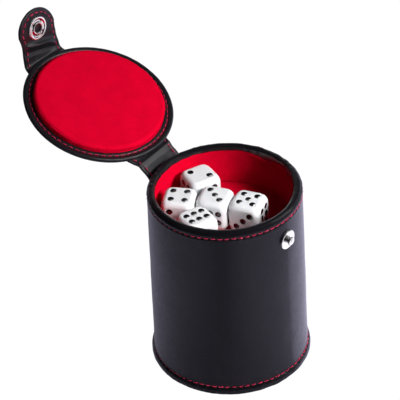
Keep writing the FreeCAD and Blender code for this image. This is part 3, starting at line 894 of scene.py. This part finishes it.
closed_stitches = (
    ring_stitches(LID_STITCH_R, INNER_Z + 0.24, (0, -1), LID_COUNT)
    + ring_stitches(LID_STITCH_R, COVER_Z - 0.06, (0, 1), LID_COUNT)
)
lid_thread = threads("lid_thread", [
    (apply(a, LID_REST), apply(b, LID_REST), LID_REST[:3, :3] @ normal)
    for a, b, normal in closed_stitches
], radius=0.25)
assign(lid_thread, "lid", "red_thread", "lid_stitching")

# ------------------------------------------------------------------ lid pad
PAD_SPOKES = 144


def drape_base(scale):
    """the pad board with a soft top, which the felt falls on to"""
    outline = trace(
        (0.01, 2.95),
        [(30.9, 2.95, 1.5), ((32.1, 2.50), (32.45, 1.4)), (32.45, -3.0), (0.01, -3.0, 4.0)],
        spacing=0.3,
    )

    def relief(angle, radius, z):
        return 0.16 * (z > 2.0) * noise2(polar_xyz(angle, radius, 0) / 12.0, 75)

    base = revolve("drape_base", outline, 120, BOARD, relief, closed=False)
    base.data.transform(Matrix.Scale(scale, 4))
    base.modifiers.new("col", "COLLISION")
    base.collision.thickness_outer = 0.003
    base.collision.cloth_friction = 30
    return base


def drape():
    """points and faces of a round of felt draped over the pad board, face up;
    the cloth is worked at ten times size, then scaled back"""
    scale, frames = 10.0, 30
    outline = trace(
        (0.6, PAD_TOP),
        [
            (29.6, PAD_TOP, 0.72),
            (31.6, PAD_TOP, 0.4),
            ((32.7, PAD_TOP - 0.42), (PAD_R, PAD_TOP - 1.45)),
            (PAD_R, 0.0),
        ],
        spacing=0.32,
    )
    radius, angle = np.meshgrid(outline[:, 0], full_turn(PAD_SPOKES), indexing="ij")
    flat = polar_xyz(angle, radius, outline[:, 1:2]).reshape(-1, 3)
    flat = np.concatenate([[[0, 0, PAD_TOP]], flat])
    faces = quads(len(outline), PAD_SPOKES, False, True, offset=1).tolist()
    faces += [[0, 1 + j, 1 + (j + 1) % PAD_SPOKES] for j in range(PAD_SPOKES)]
    start = flat.copy()
    start[:, 2] += 0.5 * smooth(flat[:, 2], 0.3, 2.0)
    mesh = bpy.data.meshes.new("drape")
    mesh.from_pydata((start * scale * MM).tolist(), [], faces)
    cloth = link("drape", mesh)
    base = drape_base(scale)
    pinned = cloth.vertex_groups.new(name="pin")
    pinned.add([i for i, point in enumerate(flat) if point[2] < 0.25], 1.0, "ADD")
    modifier = cloth.modifiers.new("cloth", "CLOTH")
    settings = modifier.settings
    settings.quality = 5
    settings.mass = 0.5
    settings.tension_stiffness = 18
    settings.compression_stiffness = 18
    settings.shear_stiffness = 9
    settings.bending_stiffness = 1.2
    settings.shrink_min = 0.006
    settings.vertex_group_mass = "pin"
    modifier.collision_settings.distance_min = 0.003
    modifier.collision_settings.collision_quality = 2
    modifier.collision_settings.use_self_collision = False
    scene = bpy.context.scene
    old_frame = scene.frame_current
    modifier.point_cache.frame_start = 1
    modifier.point_cache.frame_end = frames
    for f in range(1, frames + 1):
        scene.frame_set(f)
    settled = cloth.evaluated_get(bpy.context.evaluated_depsgraph_get())
    draped = np.array([v.co for v in settled.data.vertices]) / (scale * MM)
    scene.frame_set(old_frame)
    bpy.data.objects.remove(base)
    bpy.data.objects.remove(cloth)
    # guards against a simulation that flies apart
    steady = np.isfinite(draped).all() and np.abs(draped - flat).max() < 3.0
    return (draped if steady else flat), faces


def pad_cloth():
    face, faces = drape()
    radius = np.hypot(face[:, 0], face[:, 1])
    face[:, :2] *= (np.minimum(radius, PAD_R + 0.15) / np.maximum(radius, 1e-6))[:, None]
    face[:, 2] = np.clip(face[:, 2], -0.02, PAD_TOP + 0.25)
    face[:, 2] += 0.04 * noise2(face / 1.7, 71) * (face[:, 2] > 2.0)
    back = face.copy()
    back[:, 2] = -0.08
    back[:, :2] *= 0.985
    size = len(face)
    edge = size - PAD_SPOKES
    back_faces = [[i + size for i in f][::-1] for f in faces]
    side_faces = []
    for j in range(PAD_SPOKES):
        this, after = edge + j, edge + (j + 1) % PAD_SPOKES
        side_faces.append([this, after, size + after, size + this])
    points = np.concatenate([face, back])
    return make("lid_pad_cloth", points, faces + back_faces + side_faces, SHADED_PAD_FELT)


pad = pad_cloth()
move(pad, LID_REST @ axes_matrix(np.array([0, 0, INNER_Z + 0.10]), EX, -EY, -EZ))
assign(pad, "lid", "red_felt", "lid_pad_felt")


# ------------------------------------------------------------------ straps
STITCH_INSET = 2.2


def spline(stations, count):
    """even points on a centripetal curve through the stations, and its length"""
    p = np.array(stations, float)
    p = np.vstack([2 * p[0] - p[1], p, 2 * p[-1] - p[-2]])
    curve = []
    for i in range(1, len(p) - 2):
        knots = [0.0]
        for j in (i, i + 1, i + 2):
            knots.append(knots[-1] + max(np.linalg.norm(p[j] - p[j - 1]), 1e-6) ** 0.5)

        def blend(first, second, low, high, at):
            """between two points whose knots are low and high"""
            start, end = knots[low], knots[high]
            return ((end - at) * first + (at - start) * second) / (end - start)

        for t in np.linspace(knots[1], knots[2], 40, endpoint=False):
            legs = [blend(p[i - 1 + k], p[i + k], k, k + 1, t) for k in range(3)]
            pair = [blend(legs[k], legs[k + 1], k, k + 2, t) for k in range(2)]
            curve.append(blend(pair[0], pair[1], 1, 2, t))
    curve.append(p[-2])
    curve = np.array(curve)
    steps = np.linalg.norm(np.diff(curve, axis=0), axis=1)
    length = np.concatenate([[0], np.cumsum(steps)])
    even = np.linspace(0, length[-1], count)
    return np.stack([np.interp(even, length, column) for column in curve.T], 1), length[-1]


class Strap:
    """double leather that follows a curve; place(along, across, y, z) gives the
    point of its middle surface"""

    def __init__(self, stations, place):
        self.curve, self.length = spline(stations, 700)
        self.distance = np.linspace(0, self.length, 700)
        self.place = place

    def middle(self, along, across):
        y, z = (np.interp(along, self.distance, column) for column in self.curve.T)
        return self.place(along, across, y, z)

    def normal(self, along, across):
        e = 0.05
        lengthways = self.middle(along + e, across) - self.middle(along - e, across)
        sideways = self.middle(along, across + e) - self.middle(along, across - e)
        n = np.cross(lengthways, sideways)
        return n / (np.linalg.norm(n, axis=-1)[..., None] + 1e-12)

    def mesh(self, name, rows, width, edge_distance, relief):
        spread = np.sin(np.linspace(-1, 1, 61) * math.pi / 2)
        along, part = np.meshgrid(rows, spread, indexing="ij")
        across = part * width(along)
        edge = edge_distance(along, across)
        # rounded edges, and a groove under the stitches
        half = np.sqrt(np.maximum(
            STRAP_HALF ** 2 - (STRAP_HALF - np.minimum(edge, STRAP_HALF)) ** 2, 0
        ))
        half = np.where(edge < STRAP_HALF, half, STRAP_HALF)
        half = half - 0.13 * bell(edge - STITCH_INSET, 0.55) * (edge > 0.9)
        normal = self.normal(along, across)
        middle = self.middle(along, across)
        shift = relief(along, across)
        upper = middle + normal * (half + shift)[..., None]
        lower = middle - normal * (half - shift)[..., None]
        points = there_and_back(upper, lower)
        count, size = points.shape[:2]
        faces = quads(count, size, False, True).tolist()
        faces.append(list(range(size))[::-1])
        faces.append([(count - 1) * size + j for j in range(size)])
        return make(name, points.reshape(-1, 3), faces, LINING)

    def stitches(self, path, side):
        """even stitches along an (along, across) path, on the side the normal
        points to (1) or the other (-1)"""
        path = np.array(path, float)
        points = self.middle(path[:, 0], path[:, 1])
        steps = np.linalg.norm(np.diff(points, axis=0), axis=1)
        length = np.concatenate([[0], np.cumsum(steps)])
        count = int(length[-1] / PITCH)

        def at(distance):
            return [np.array([np.interp(distance, length, column)]) for column in path.T]

        result = []
        for i in range(count):
            centre = (i + 0.5) * length[-1] / count
            ends = []
            for k in (-STITCH_L / 2, STITCH_L / 2):
                spot = at(centre + k)
                lift = side * (STRAP_HALF - 0.14) * self.normal(*spot)
                ends.append((self.middle(*spot) + lift)[0])
            result.append((*ends, side * self.normal(*at(centre))[0]))
        return result


# ------------------------------------------------------------------ hinge strap
def lid_point(out, below):
    """(y, z) beside the resting lid: out past the hinge line, below its strap plane"""
    slope = math.radians(180.0 - LID_OPEN)
    down = math.radians(90.0 - LID_OPEN)
    return (
        HINGE_Y + out * math.cos(slope) + below * math.cos(down),
        HINGE_Z + out * math.sin(slope) + below * math.sin(down),
    )


# (y, z) from inside the lid's edge, down the cup's back wall
TAIL_Z = CUP_H - 32.0
HINGE_STATIONS = [
    lid_point(17.0, 0.35),
    lid_point(13.0, 0.45),
    lid_point(9.6, 1.00),
    lid_point(7.0, 1.75),
    (45.9, CUP_H + 0.95),
    (44.5, CUP_H + 0.10),
    (43.5, CUP_H - 0.62),
    (42.6, CUP_H - 1.50),
    (41.2, CUP_H - 2.95),
    (40.1, CUP_H - 4.15),
    (39.3, CUP_H - 5.6),
    (38.75, CUP_H - 7.8),
    (38.50, CUP_H - 10.0),
    (wall(CUP_H - 14) + 0.92, CUP_H - 14),
    (wall(CUP_H - 20) + 0.90, CUP_H - 20),
    (wall(CUP_H - 26) + 0.90, CUP_H - 26),
    (wall(TAIL_Z) + 0.90, TAIL_Z),
]


def hinge_place(along, across, y, z):
    """flat at the lid, curled round the wall lower down"""
    curl = 1 - smooth(z, CUP_H - 9.0, CUP_H - 1.5)
    radius = np.maximum(y, 30.0)
    turn = across / radius
    x = across * (1 - curl) + radius * np.sin(turn) * curl
    x = x - 1.0 * (1 - smooth(along, 8, 18))
    x = x + 0.3 * smooth(along, 16, 20) * (1 - smooth(along, 22, 30))
    return xyz(x, y - curl * (radius - radius * np.cos(turn)), z)


hinge_shape = Strap(HINGE_STATIONS, hinge_place)
CORNER = 5.0                                # corner radius of the lower end
HINGE_SIDE = hinge_shape.length - CORNER    # where the corners start


def hinge_width(along):
    """half width"""
    width = 12.0 + 3.4 * (1 - smooth(along, 4.0, 17.5)) + 0.2 * smooth(along, 24, 34)
    past = np.minimum(np.maximum(0, along - HINGE_SIDE), CORNER)
    return width - (CORNER - np.sqrt(np.maximum(CORNER ** 2 - past ** 2, 0)))


def hinge_edge(along, across):
    end = hinge_shape.length - along
    side = hinge_width(np.minimum(along, HINGE_SIDE)) - np.abs(across)
    reach = np.hypot(np.maximum(CORNER - side, 0), np.maximum(CORNER - end, 0))
    in_corner = (side < CORNER) & (end < CORNER)
    return np.where(in_corner, CORNER - reach, np.minimum(side, end))


def hinge_relief(along, across):
    point = hinge_shape.middle(along, across)
    d = 0.10 * noise2(point / 7.0, 81) + 0.03 * noise2(point / 2.0, 83)
    # a soft ridge where the strap folds over, skewed across its width
    q = along - 14.6 + 0.05 * across
    d = d + 0.30 * bell(q, 0.75) - 0.16 * bell(q - 2.6, 1.6) - 0.16 * bell(q + 2.4, 1.3)
    on_wall = smooth(along, 28, 36)
    return d * (1 - 0.8 * on_wall) * smooth(along, 4, 9)


def hinge_path():
    """down one side, round the lower end, up the other"""
    path = [
        (at, -(hinge_width(at) - STITCH_INSET)) for at in np.linspace(7.0, HINGE_SIDE, 60)
    ]
    radius = CORNER - STITCH_INSET
    for t in np.linspace(0, math.pi / 2, 12)[1:]:
        across = hinge_width(HINGE_SIDE) - CORNER + radius * math.cos(t)
        path.append((HINGE_SIDE + radius * math.sin(t), -across))
    return path + [(along, -across) for along, across in path[::-1]]


hinge_rows = np.unique(np.concatenate([
    np.linspace(0, HINGE_SIDE - 0.5, 190),
    HINGE_SIDE + CORNER * np.sin(np.linspace(0, math.pi / 2, 22)),
]))
hinge = hinge_shape.mesh("hinge_strap", hinge_rows, hinge_width, hinge_edge, hinge_relief)
# the hidden side is only stitched where it stands clear of the wall
clear = [s for s in hinge_shape.stitches(hinge_path(), -1) if s[0][2] > CUP_H - 3.0]
hinge_thread = threads(
    "hinge_thread", hinge_shape.stitches(hinge_path(), 1) + clear, radius=0.25
)
assign_strap(
    hinge, hinge_thread,
    replaced=(
        "strap_tail_lining", "strap_tail_leather", "hinge_neck_leather", "hinge_neck_lining"
    ),
    replaced_thread="strap_tail_stitching",
)

# ------------------------------------------------------------------ closing tab
TAB_L = 27.2                                # from the bend line to the tip
TAB_R = 12.45                               # half width, and radius of the round tip


def tab_point(along, off=0.0):
    """along the bent tab from its bend line; off towards the outer face"""
    cos, sin = math.cos(math.radians(TAB_BEND)), math.sin(math.radians(TAB_BEND))
    return (-BEND_Y + along * cos + off * sin, BEND_Z - along * sin + off * cos)


# (distance in front of the cup's axis, z), lid closed
TAB_STATIONS = [
    (24.0, CUP_H + 1.90),
    (29.0, CUP_H + 2.00),
    (33.5, CUP_H + 2.25),
    (36.8, CUP_H + 2.35),
    (39.0, CUP_H + 1.75),
    tab_point(1.2, -0.60),
    tab_point(3.2, -0.45),
    tab_point(6.0, -0.10),
    *[tab_point(along) for along in (8.6, 14.0, 20.0, TAB_L)],
]


def tab_place(along, across, y, z):
    lean = 0.85 - 1.6 * smooth(along, 20.0, 42.0)
    lean = lean + 0.40 * smooth(along, 20.0, 26.0) * (1 - smooth(along, 40.0, 47.0))
    return apply(xyz(across + lean, -y, z), LID_REST)


tab_shape = Strap(TAB_STATIONS, tab_place)
TAB_SIDE = tab_shape.length - TAB_R         # where the round tip starts


def tab_width(along):
    """half width"""
    width = TAB_R - 0.65 * smooth(along, 18.0, 24.0) * (1 - smooth(along, 27.0, 32.5))
    width = width + 1.8 * (1 - smooth(along, 6.0, 19.0))
    past = np.clip(along - TAB_SIDE, 0, TAB_R)
    return np.where(along > TAB_SIDE, np.sqrt(np.maximum(TAB_R ** 2 - past * past, 0)), width)


def tab_edge(along, across):
    side = tab_width(np.minimum(along, TAB_SIDE)) - np.abs(across)
    return np.where(along > TAB_SIDE, TAB_R - np.hypot(along - TAB_SIDE, across), side)


def tab_relief(along, across):
    point = xyz(across, along, 0)
    d = 0.07 * noise2(point / 6.0, 91) + 0.025 * noise2(point / 1.8, 93)
    # a skewed wave across the strap beyond its bend, fading towards the sides
    q = along - (tab_shape.length - TAB_L) - 7.4 + 0.24 * across
    fade = np.clip(1 - (across / 10.6) ** 2, 0, 1) ** 0.8
    wave = -1.6 * bell(q, 1.5) + 0.7 * bell(q + 3.4, 1.5) + 0.15 * bell(q - 3.4, 1.8)
    return d * smooth(along, 6, 11) + wave * fade


def tab_path():
    """down one side, round the tip, up the other"""
    radius = TAB_R - STITCH_INSET
    left = [(at, -(tab_width(at) - STITCH_INSET)) for at in np.linspace(10.5, TAB_SIDE, 50)]
    tip = [
        (TAB_SIDE + radius * math.sin(t), -radius * math.cos(t))
        for t in np.linspace(0, math.pi, 50)[1:]
    ]
    right = [(along, -across) for along, across in left[::-1]]
    return left + tip + right[1:]


tab_rows = np.unique(np.concatenate([
    np.linspace(0, TAB_SIDE, 110),
    TAB_SIDE + TAB_R * np.sin(np.linspace(0, math.pi / 2, 60))[:-1],
    [tab_shape.length - 0.0015],
]))
tab = tab_shape.mesh("tab_strap", tab_rows, tab_width, tab_edge, tab_relief)
tab_thread = threads(
    "tab_thread",
    tab_shape.stitches(tab_path(), 1) + tab_shape.stitches(tab_path(), -1),
    radius=0.24,
)
assign_strap(
    tab, tab_thread,
    replaced=("tab_leather", "tab_lining", "tab_neck_leather", "tab_neck_lining"),
    replaced_thread="tab_stitching",
)

# ------------------------------------------------------------------ snap on the tab
SNAP_PLACE = TAB_REST @ axes_matrix(np.array([0, BEND_Y - 16.75, 0]), EX, EY, EZ)
OUTER_Z, INNER_FACE_Z = BEND_Z + STRAP_HALF, BEND_Z - STRAP_HALF
CAP_R, CAP_RISE, CAP_TOP = 6.3, 1.10, 1.55


def cap_outline():
    """domed cap on the outer face, with a shank through the strap"""
    dome_r = (CAP_R ** 2 + CAP_RISE ** 2) / (2 * CAP_RISE)
    centre = OUTER_Z + CAP_TOP - dome_r
    dome = [(0.0, OUTER_Z + CAP_TOP)]
    dome += [(r, centre + math.sqrt(dome_r ** 2 - r * r)) for r in np.linspace(0.3, 6.0, 22)]
    edge = trace(
        (6.12, OUTER_Z + 0.52),
        [
            ((6.30, OUTER_Z + 0.40), (6.30, OUTER_Z + 0.24)),
            ((6.25, OUTER_Z + 0.06), (6.0, OUTER_Z)),
            (3.2, OUTER_Z),
            (3.2, INNER_FACE_Z - 0.3),
            (2.6, INNER_FACE_Z - 0.3),
            (2.6, OUTER_Z + 0.5),
            (0.0, OUTER_Z + 0.5),
        ],
        spacing=0.14,
    )
    return np.vstack([dome, edge])


def socket_ring():
    seat_z, count = INNER_FACE_Z - 0.02, 128
    outline = trace(
        (2.45, seat_z - 0.70),
        [
            ((2.48, seat_z - 0.86), (2.62, seat_z - 0.92)),
            ((2.95, seat_z - 1.02), (3.25, seat_z - 0.88)),
            ((3.42, seat_z - 0.70), (3.60, seat_z - 0.56)),
            ((4.15, seat_z - 0.46), (4.75, seat_z - 0.60)),
            ((5.15, seat_z - 0.80), (5.55, seat_z - 0.84)),
            ((6.05, seat_z - 0.70), (6.20, seat_z - 0.34)),
            (6.20, seat_z + 0.02),
            (2.62, seat_z + 0.02),
            (2.45, seat_z - 0.10),
        ],
        spacing=0.12,
    )
    angle, radius, z = spin(outline, count)
    # four punch marks pressed into the valley of the ring
    mark = 0
    for k in range(4):
        turn = (angle - math.radians(45 + 90 * k) + math.pi) % (2 * math.pi) - math.pi
        mark = mark + bell(turn * 4.0, 0.55) * bell(radius - 4.0, 0.42)
    z = z + 0.30 * mark * (z < seat_z - 0.3)
    points = apply(polar_xyz(angle, radius, z).reshape(-1, 3), SNAP_PLACE)
    return make("socket_metal", points, quads(count, len(outline), True, True), NICKEL)


cap = turned("cap_metal", cap_outline(), NICKEL, 80, SNAP_PLACE)
assign(cap, "tab", "nickel", "snap_cap")
socket = socket_ring()
assign(socket, "tab", "nickel", "snap_socket")

# ------------------------------------------------------------------ dice
DIE_HALF, DIE_EDGE_R, DIE_BALL_R = 8.0, 2.7, 11.5
# body, x, y, face that is up, side face that looks along the heading, heading in degrees
DICE = [
    ("die_1", 7.30, 21.70, "-y", "+x", -110.4),
    ("die_2", -12.52, 18.42, "-x", "-y", -151.1),
    ("die_3", -1.85, 4.72, "+x", "-z", -159.6),
    ("die_4", -20.36, 0.84, "-z", "+x", -108.8),
    ("die_5", 4.93, -10.48, "+y", "+x", -162.3),
]
AXES = {"+x": EX, "-x": -EX, "+y": EY, "-y": -EY, "+z": EZ, "-z": -EZ}
OFF = 3.4                                   # pip offset from the face's centre
PIPS = {
    "+z": [(0, 0, 0)],
    "-y": [(-OFF, 0, -OFF), (OFF, 0, OFF)],
    "+x": [(0, OFF, -OFF), (0, 0, 0), (0, -OFF, OFF)],
    "-x": [(0, OFF, OFF), (0, OFF, -OFF), (0, -OFF, OFF), (0, -OFF, -OFF)],
    "+y": [(OFF, 0, OFF), (OFF, 0, -OFF), (-OFF, 0, OFF), (-OFF, 0, -OFF), (0, 0, 0)],
    "-z": [(i * 2.45, j * 4.1, 0) for i in (-1, 1) for j in (-1, 0, 1)],
}
PIP_R, PIP_DEPTH = 1.60, 0.68
PIP_BALL_R = (PIP_R * PIP_R + PIP_DEPTH * PIP_DEPTH) / (2 * PIP_DEPTH)


def pip_depth(radius):
    return np.sqrt(np.maximum(PIP_BALL_R ** 2 - radius ** 2, 0)) - (PIP_BALL_R - PIP_DEPTH)


def die_distance(points):
    """distance to a rounded cube trimmed by a ball"""
    q = np.abs(points) - (DIE_HALF - DIE_EDGE_R)
    outer = np.linalg.norm(np.maximum(q, 0), axis=-1)
    box = outer + np.minimum(q.max(-1), 0) - DIE_EDGE_R
    ball = np.linalg.norm(points, axis=-1) - DIE_BALL_R
    soft = 1.1
    h = np.clip(0.5 - 0.5 * (box - ball) / soft, 0, 1)
    return ball * h + box * (1 - h) + soft * h * (1 - h)


def die_mesh():
    """six grids pushed out to the die's surface, with the pips pressed in"""
    count = 84
    points, faces = [], []
    grid = np.tan(np.linspace(-1, 1, count + 1) * math.pi / 4)
    for i, (key, normal) in enumerate(AXES.items()):
        parts = list(np.meshgrid(grid, grid, indexing="ij"))
        axis = "xyz".index(key[1])
        parts.insert(axis, normal[axis])
        ray = xyz(*parts)
        low, high = np.full(ray.shape[:2], 4.0), np.full(ray.shape[:2], 14.0)
        for _ in range(34):
            mid = (low + high) / 2
            inside = die_distance(ray * mid[..., None]) < 0
            low, high = np.where(inside, mid, low), np.where(inside, high, mid)
        face = ray * ((low + high) / 2)[..., None]
        for spot in PIPS[key]:
            offset = face - np.array(spot, float)
            offset = offset - (offset @ normal)[..., None] * normal
            depth = pip_depth(np.linalg.norm(offset, axis=-1))
            face = face - normal * np.maximum(depth, 0)[..., None]
        points.append(face.reshape(-1, 3))
        faces.append(quads(count + 1, count + 1, offset=i * (count + 1) ** 2))
    return np.concatenate(points), np.concatenate(faces)


def pip_mesh():
    """a thin dish of paint in every pip"""
    rows, count = 9, 36
    points, faces = [], []
    radii = np.concatenate([[0.01], np.linspace(0.2, PIP_R - 0.03, rows - 1)])
    angle, radius = np.meshgrid(full_turn(count), radii, indexing="ij")
    depth = pip_depth(radius)
    for key, normal in AXES.items():
        first = np.eye(3)[("xyz".index(key[1]) + 1) % 3]
        second = np.cross(normal, first)
        for spot in PIPS[key]:
            flat = np.array(spot, float) + normal * DIE_HALF
            flat = flat + first * (radius * np.cos(angle))[..., None]
            flat = flat + second * (radius * np.sin(angle))[..., None]
            top = flat - normal * (depth - 0.035)[..., None]
            bottom = flat - normal * (depth + 0.10)[..., None]
            offset = len(points) * count * 2 * rows
            points.append(there_and_back(top, bottom).reshape(-1, 3))
            faces.append(quads(count, 2 * rows, True, True, offset=offset))
    return np.concatenate(points), np.concatenate(faces)


def die_place(x, y, up, front, heading):
    turn = math.radians(heading)
    ahead = np.array([math.cos(turn), math.sin(turn), 0])
    aside = np.array([-math.sin(turn), math.cos(turn), 0])
    own = np.stack([np.cross(-AXES[front], AXES[up]), AXES[front], AXES[up]], 1)
    matrix = np.eye(4)
    matrix[:3, :3] = np.stack([aside, ahead, EZ], 1) @ own.T
    matrix[:3, 3] = [x, y, FLOOR_Z + DIE_HALF + 0.02]
    return matrix


die_points, die_faces = die_mesh()
pip_points, pip_faces = pip_mesh()
paints = []
for die, *pose in DICE:
    place = die_place(*pose)
    resin = make(die + "_resin", apply(die_points, place), die_faces, DIE_WHITE)
    assign(resin, die, "die_white", die + "_body")
    paint = make(die + "_paint", apply(pip_points, place), pip_faces, PIP_BLACK)
    assign(paint, die, "pip_black", die + "_pips")
    paints.append(paint)

# ------------------------------------------------------------------ CAD pieces kept
for piece, material, slot in (
    ("core_tube", BOARD, "board"),
    ("partition_board", BOARD, "board"),
    ("lid_board", BOARD, "board"),
    ("lid_pad_board", BOARD, "board"),
    ("snap_post", NICKEL, "nickel"),
    ("snap_spring", STEEL, "spring_wire"),
):
    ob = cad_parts[piece]
    ob.data.materials.clear()
    ob.data.materials.append(material)

# ------------------------------------------------------------------ stage, in metres
# azimuths run round from the camera's right (0); 90 is straight away from it
CAMERA_RIGHT = -49.4
BACKDROP_LEVEL = 1.02                       # white seen directly by the camera
FLOOR_HALF = 3.0


def heading(azimuth):
    angle = math.radians(azimuth + CAMERA_RIGHT)
    return (math.cos(angle), math.sin(angle), 0)


def floor_material():
    """diffuse white; for glossy rays the floor glows as a painted reflection of a dim table with
    a white card on it
    """
    material = bpy.data.materials.new("stage_floor")
    s = Nodes(material)
    position = s.add("ShaderNodeNewGeometry").outputs["Position"]

    def along(azimuth):
        return s.dot(position, heading(azimuth))

    # the card's near edge passes through a point by the cup's foot
    corner = tuple(38.0 * MM * c for c in heading(-39.0))
    offset = s.add("ShaderNodeVectorMath", {0: position, 1: corner}, operation="SUBTRACT")
    past_edge = s.dot(offset.outputs[0], heading(12.0 + 90.0))
    card = s.remap(past_edge, span=(-0.0015, 0.0025))
    card = s.times(card, s.remap(along(0), span=(-0.01, 0.04)))
    right = s.remap(along(0), span=(-0.005, 0.065))
    left = s.remap(along(180), span=(0.02, 0.09))
    distance = s.add("ShaderNodeVectorMath", {0: position}, operation="LENGTH").outputs["Value"]
    fade = s.remap(distance, span=(0.17, 0.30), to=(1.0, 0.05))
    far = s.times(
        s.remap(distance, span=(0.25, 0.5)), s.remap(along(70), span=(0.2, 0.5), to=(0.0, 0.75))
    )
    # painted reflection: levels of the glow that glossy rays see on the floor, lightest on the
    # card and at the sides
    card_level, right_level, left_level, base_level = 0.45, 0.26, 0.17, 0.20
    sides = s.plus(s.times(right, right_level), s.times(left, left_level))
    level = s.plus(s.times(card, card_level), s.plus(sides, base_level))
    level = s.plus(s.times(level, fade), far)

    diffuse = s.add("ShaderNodeBsdfDiffuse", {"Color": (0.93, 0.93, 0.94)})
    reflected_glow = s.add("ShaderNodeEmission", {"Color": (0.95, 0.90, 1.20), "Strength": level})
    white = s.add("ShaderNodeEmission", {"Color": (1, 1, 1), "Strength": BACKDROP_LEVEL})
    ray = s.add("ShaderNodeLightPath").outputs
    shader = s.mix_shader(ray["Is Glossy Ray"], diffuse.outputs[0], reflected_glow.outputs[0])
    shader = s.mix_shader(ray["Is Camera Ray"], shader, white.outputs[0])
    s.put(s.output.inputs[0], shader)
    return material


def make_floor():
    mesh = bpy.data.meshes.new("floor")
    corners = ((-1, -1), (1, -1), (1, 1), (-1, 1))
    points = [(x * FLOOR_HALF, y * FLOOR_HALF, -0.0002) for x, y in corners]
    mesh.from_pydata(points, [], [(0, 1, 2, 3)])
    mesh.materials.append(floor_material())
    return link("floor", mesh)


def make_world():
    """dim light; a gloss sees a dark room with a pale backdrop low behind the cup"""
    world = bpy.data.worlds.new("studio")
    bpy.context.scene.world = world
    s = Nodes(world, "ShaderNodeOutputWorld")

    def background(colour, strength):
        inputs = {"Color": colour, "Strength": strength}
        return s.add("ShaderNodeBackground", inputs).outputs[0]

    direction = s.add("ShaderNodeTexCoord").outputs["Generated"]
    up = s.add("ShaderNodeSeparateXYZ", {0: direction}).outputs["Z"]
    low_band = s.remap(up, span=(0.24, 0.40), to=(1.0, 0.0))
    back_band = s.remap(s.dot(direction, heading(70)), span=(0.45, 0.75))
    glow_level, room_level = 0.35, 0.022
    level = s.plus(s.times(s.times(low_band, back_band), glow_level), room_level)
    ray = s.add("ShaderNodeLightPath").outputs
    shader = s.mix_shader(
        ray["Is Glossy Ray"],
        background((1, 1, 1), strength=0.025),
        background((0.96, 0.95, 1.08), strength=level),
    )
    white = background((1, 1, 1), strength=BACKDROP_LEVEL)
    s.put(s.output.inputs[0], s.mix_shader(ray["Is Camera Ray"], shader, white))


stage = [make_floor()]
make_world()


# ------------------------------------------------------------------ lights
def toward(azimuth, elevation):
    x, y, _ = heading(azimuth)
    tilt = math.radians(elevation)
    return Vector((x * math.cos(tilt), y * math.cos(tilt), math.sin(tilt)))


def aimed(azimuth, elevation, distance, aim_z=0.08):
    """place and facing of a light aimed at a point on the cup's axis"""
    out = toward(azimuth, elevation)
    return Vector((0, 0, aim_z)) + out * distance, -out


def lamp(name, location, facing, width, height, energy):
    data = bpy.data.lights.new(name, "AREA")
    data.shape = "RECTANGLE"
    data.size, data.size_y = width, height
    data.energy = energy
    ob = link(name, data)
    ob.location = location
    ob.rotation_mode = "QUATERNION"
    ob.rotation_quaternion = Vector(facing).to_track_quat("-Z", "Y")
    stage.append(ob)
    return ob


def gloss_card(name, location, facing, width, height, radiance, receivers):
    """a card that only shows as a reflection, in the receivers alone"""
    energy = radiance * math.pi * width * height
    ob = lamp(name, location, facing, width, height, energy)
    ob.visible_camera = False
    ob.visible_diffuse = False
    ob.light_linking.receiver_collection = receivers
    return ob


def collect(name, members):
    collection = bpy.data.collections.new(name)
    for ob in members:
        collection.objects.link(ob)
    return collection


key_aim = aimed(azimuth=-30, elevation=38, distance=0.60)
key = lamp("key", *key_aim, width=0.18, height=0.18, energy=5.9)
key.visible_glossy = False
side_aim = aimed(azimuth=-2, elevation=27, distance=1.0)
side_card = lamp("side_card", *side_aim, width=0.60, height=0.28, energy=0.70)
side_card.visible_diffuse = False
back_aim = aimed(azimuth=95, elevation=20, distance=1.0)
back_card = lamp("back_card", *back_aim, width=0.60, height=0.09, energy=0.42)
back_card.visible_diffuse = False
fill_aim = aimed(azimuth=-100, elevation=30, distance=1.0)
fill = lamp("fill", *fill_aim, width=0.5, height=0.4, energy=0.75)
fill.visible_glossy = False

# white cards that only the bright metal sees
bright_metal = collect("bright_metal", (stud, seat, cap, socket))
right = toward(azimuth=3, elevation=0)
gloss_card(
    "metal_floor", location=(right.x * 0.42, right.y * 0.42, 0.004), facing=(0, 0, 1),
    width=0.62, height=0.62, radiance=0.85, receivers=bright_metal,
)
gloss_card(
    "metal_top", location=(0, 0, 0.9), facing=(0, 0, -1),
    width=0.9, height=0.9, radiance=0.35, receivers=bright_metal,
)
gloss_card(
    "metal_left", *aimed(azimuth=150, elevation=12, distance=0.8, aim_z=0.1),
    width=0.6, height=0.5, radiance=0.75, receivers=bright_metal,
)
# the key's own gloss is kept for the straps and the lid ring
gloss_card(
    "strap_key", *key_aim, width=0.18, height=0.18, radiance=56.0,
    receivers=collect("strap_leather", (hinge, tab, lid_ring)),
)
# a card behind and left of the cup that only the pip paint sees
pip_paint = collect("pip_paint", paints)
pip_card = gloss_card(
    "pip_card", *aimed(azimuth=113, elevation=21, distance=0.8, aim_z=0.09),
    width=0.34, height=0.34, radiance=17.0, receivers=pip_paint,
)
pip_card.light_linking.blocker_collection = pip_paint

# ------------------------------------------------------------------ camera
lens = bpy.data.cameras.new("camera")
lens.sensor_width = 36.0
lens.lens = 199.3
lens.clip_start, lens.clip_end = 0.05, 20.0
camera = link("camera", lens)
# columns: the camera's right, up and backward directions, and its place
camera.matrix_world = Matrix((
    (0.637557, 0.478243, -0.60399, -0.652567),
    (-0.769256, 0.352424, -0.532956, -0.5597656),
    (-0.042021, 0.804413, 0.592582, 0.7231546),
    (0, 0, 0, 1),
))
scene = bpy.context.scene
scene.camera = camera
scene.view_settings.view_transform = "Standard"
scene.view_settings.look = "None"
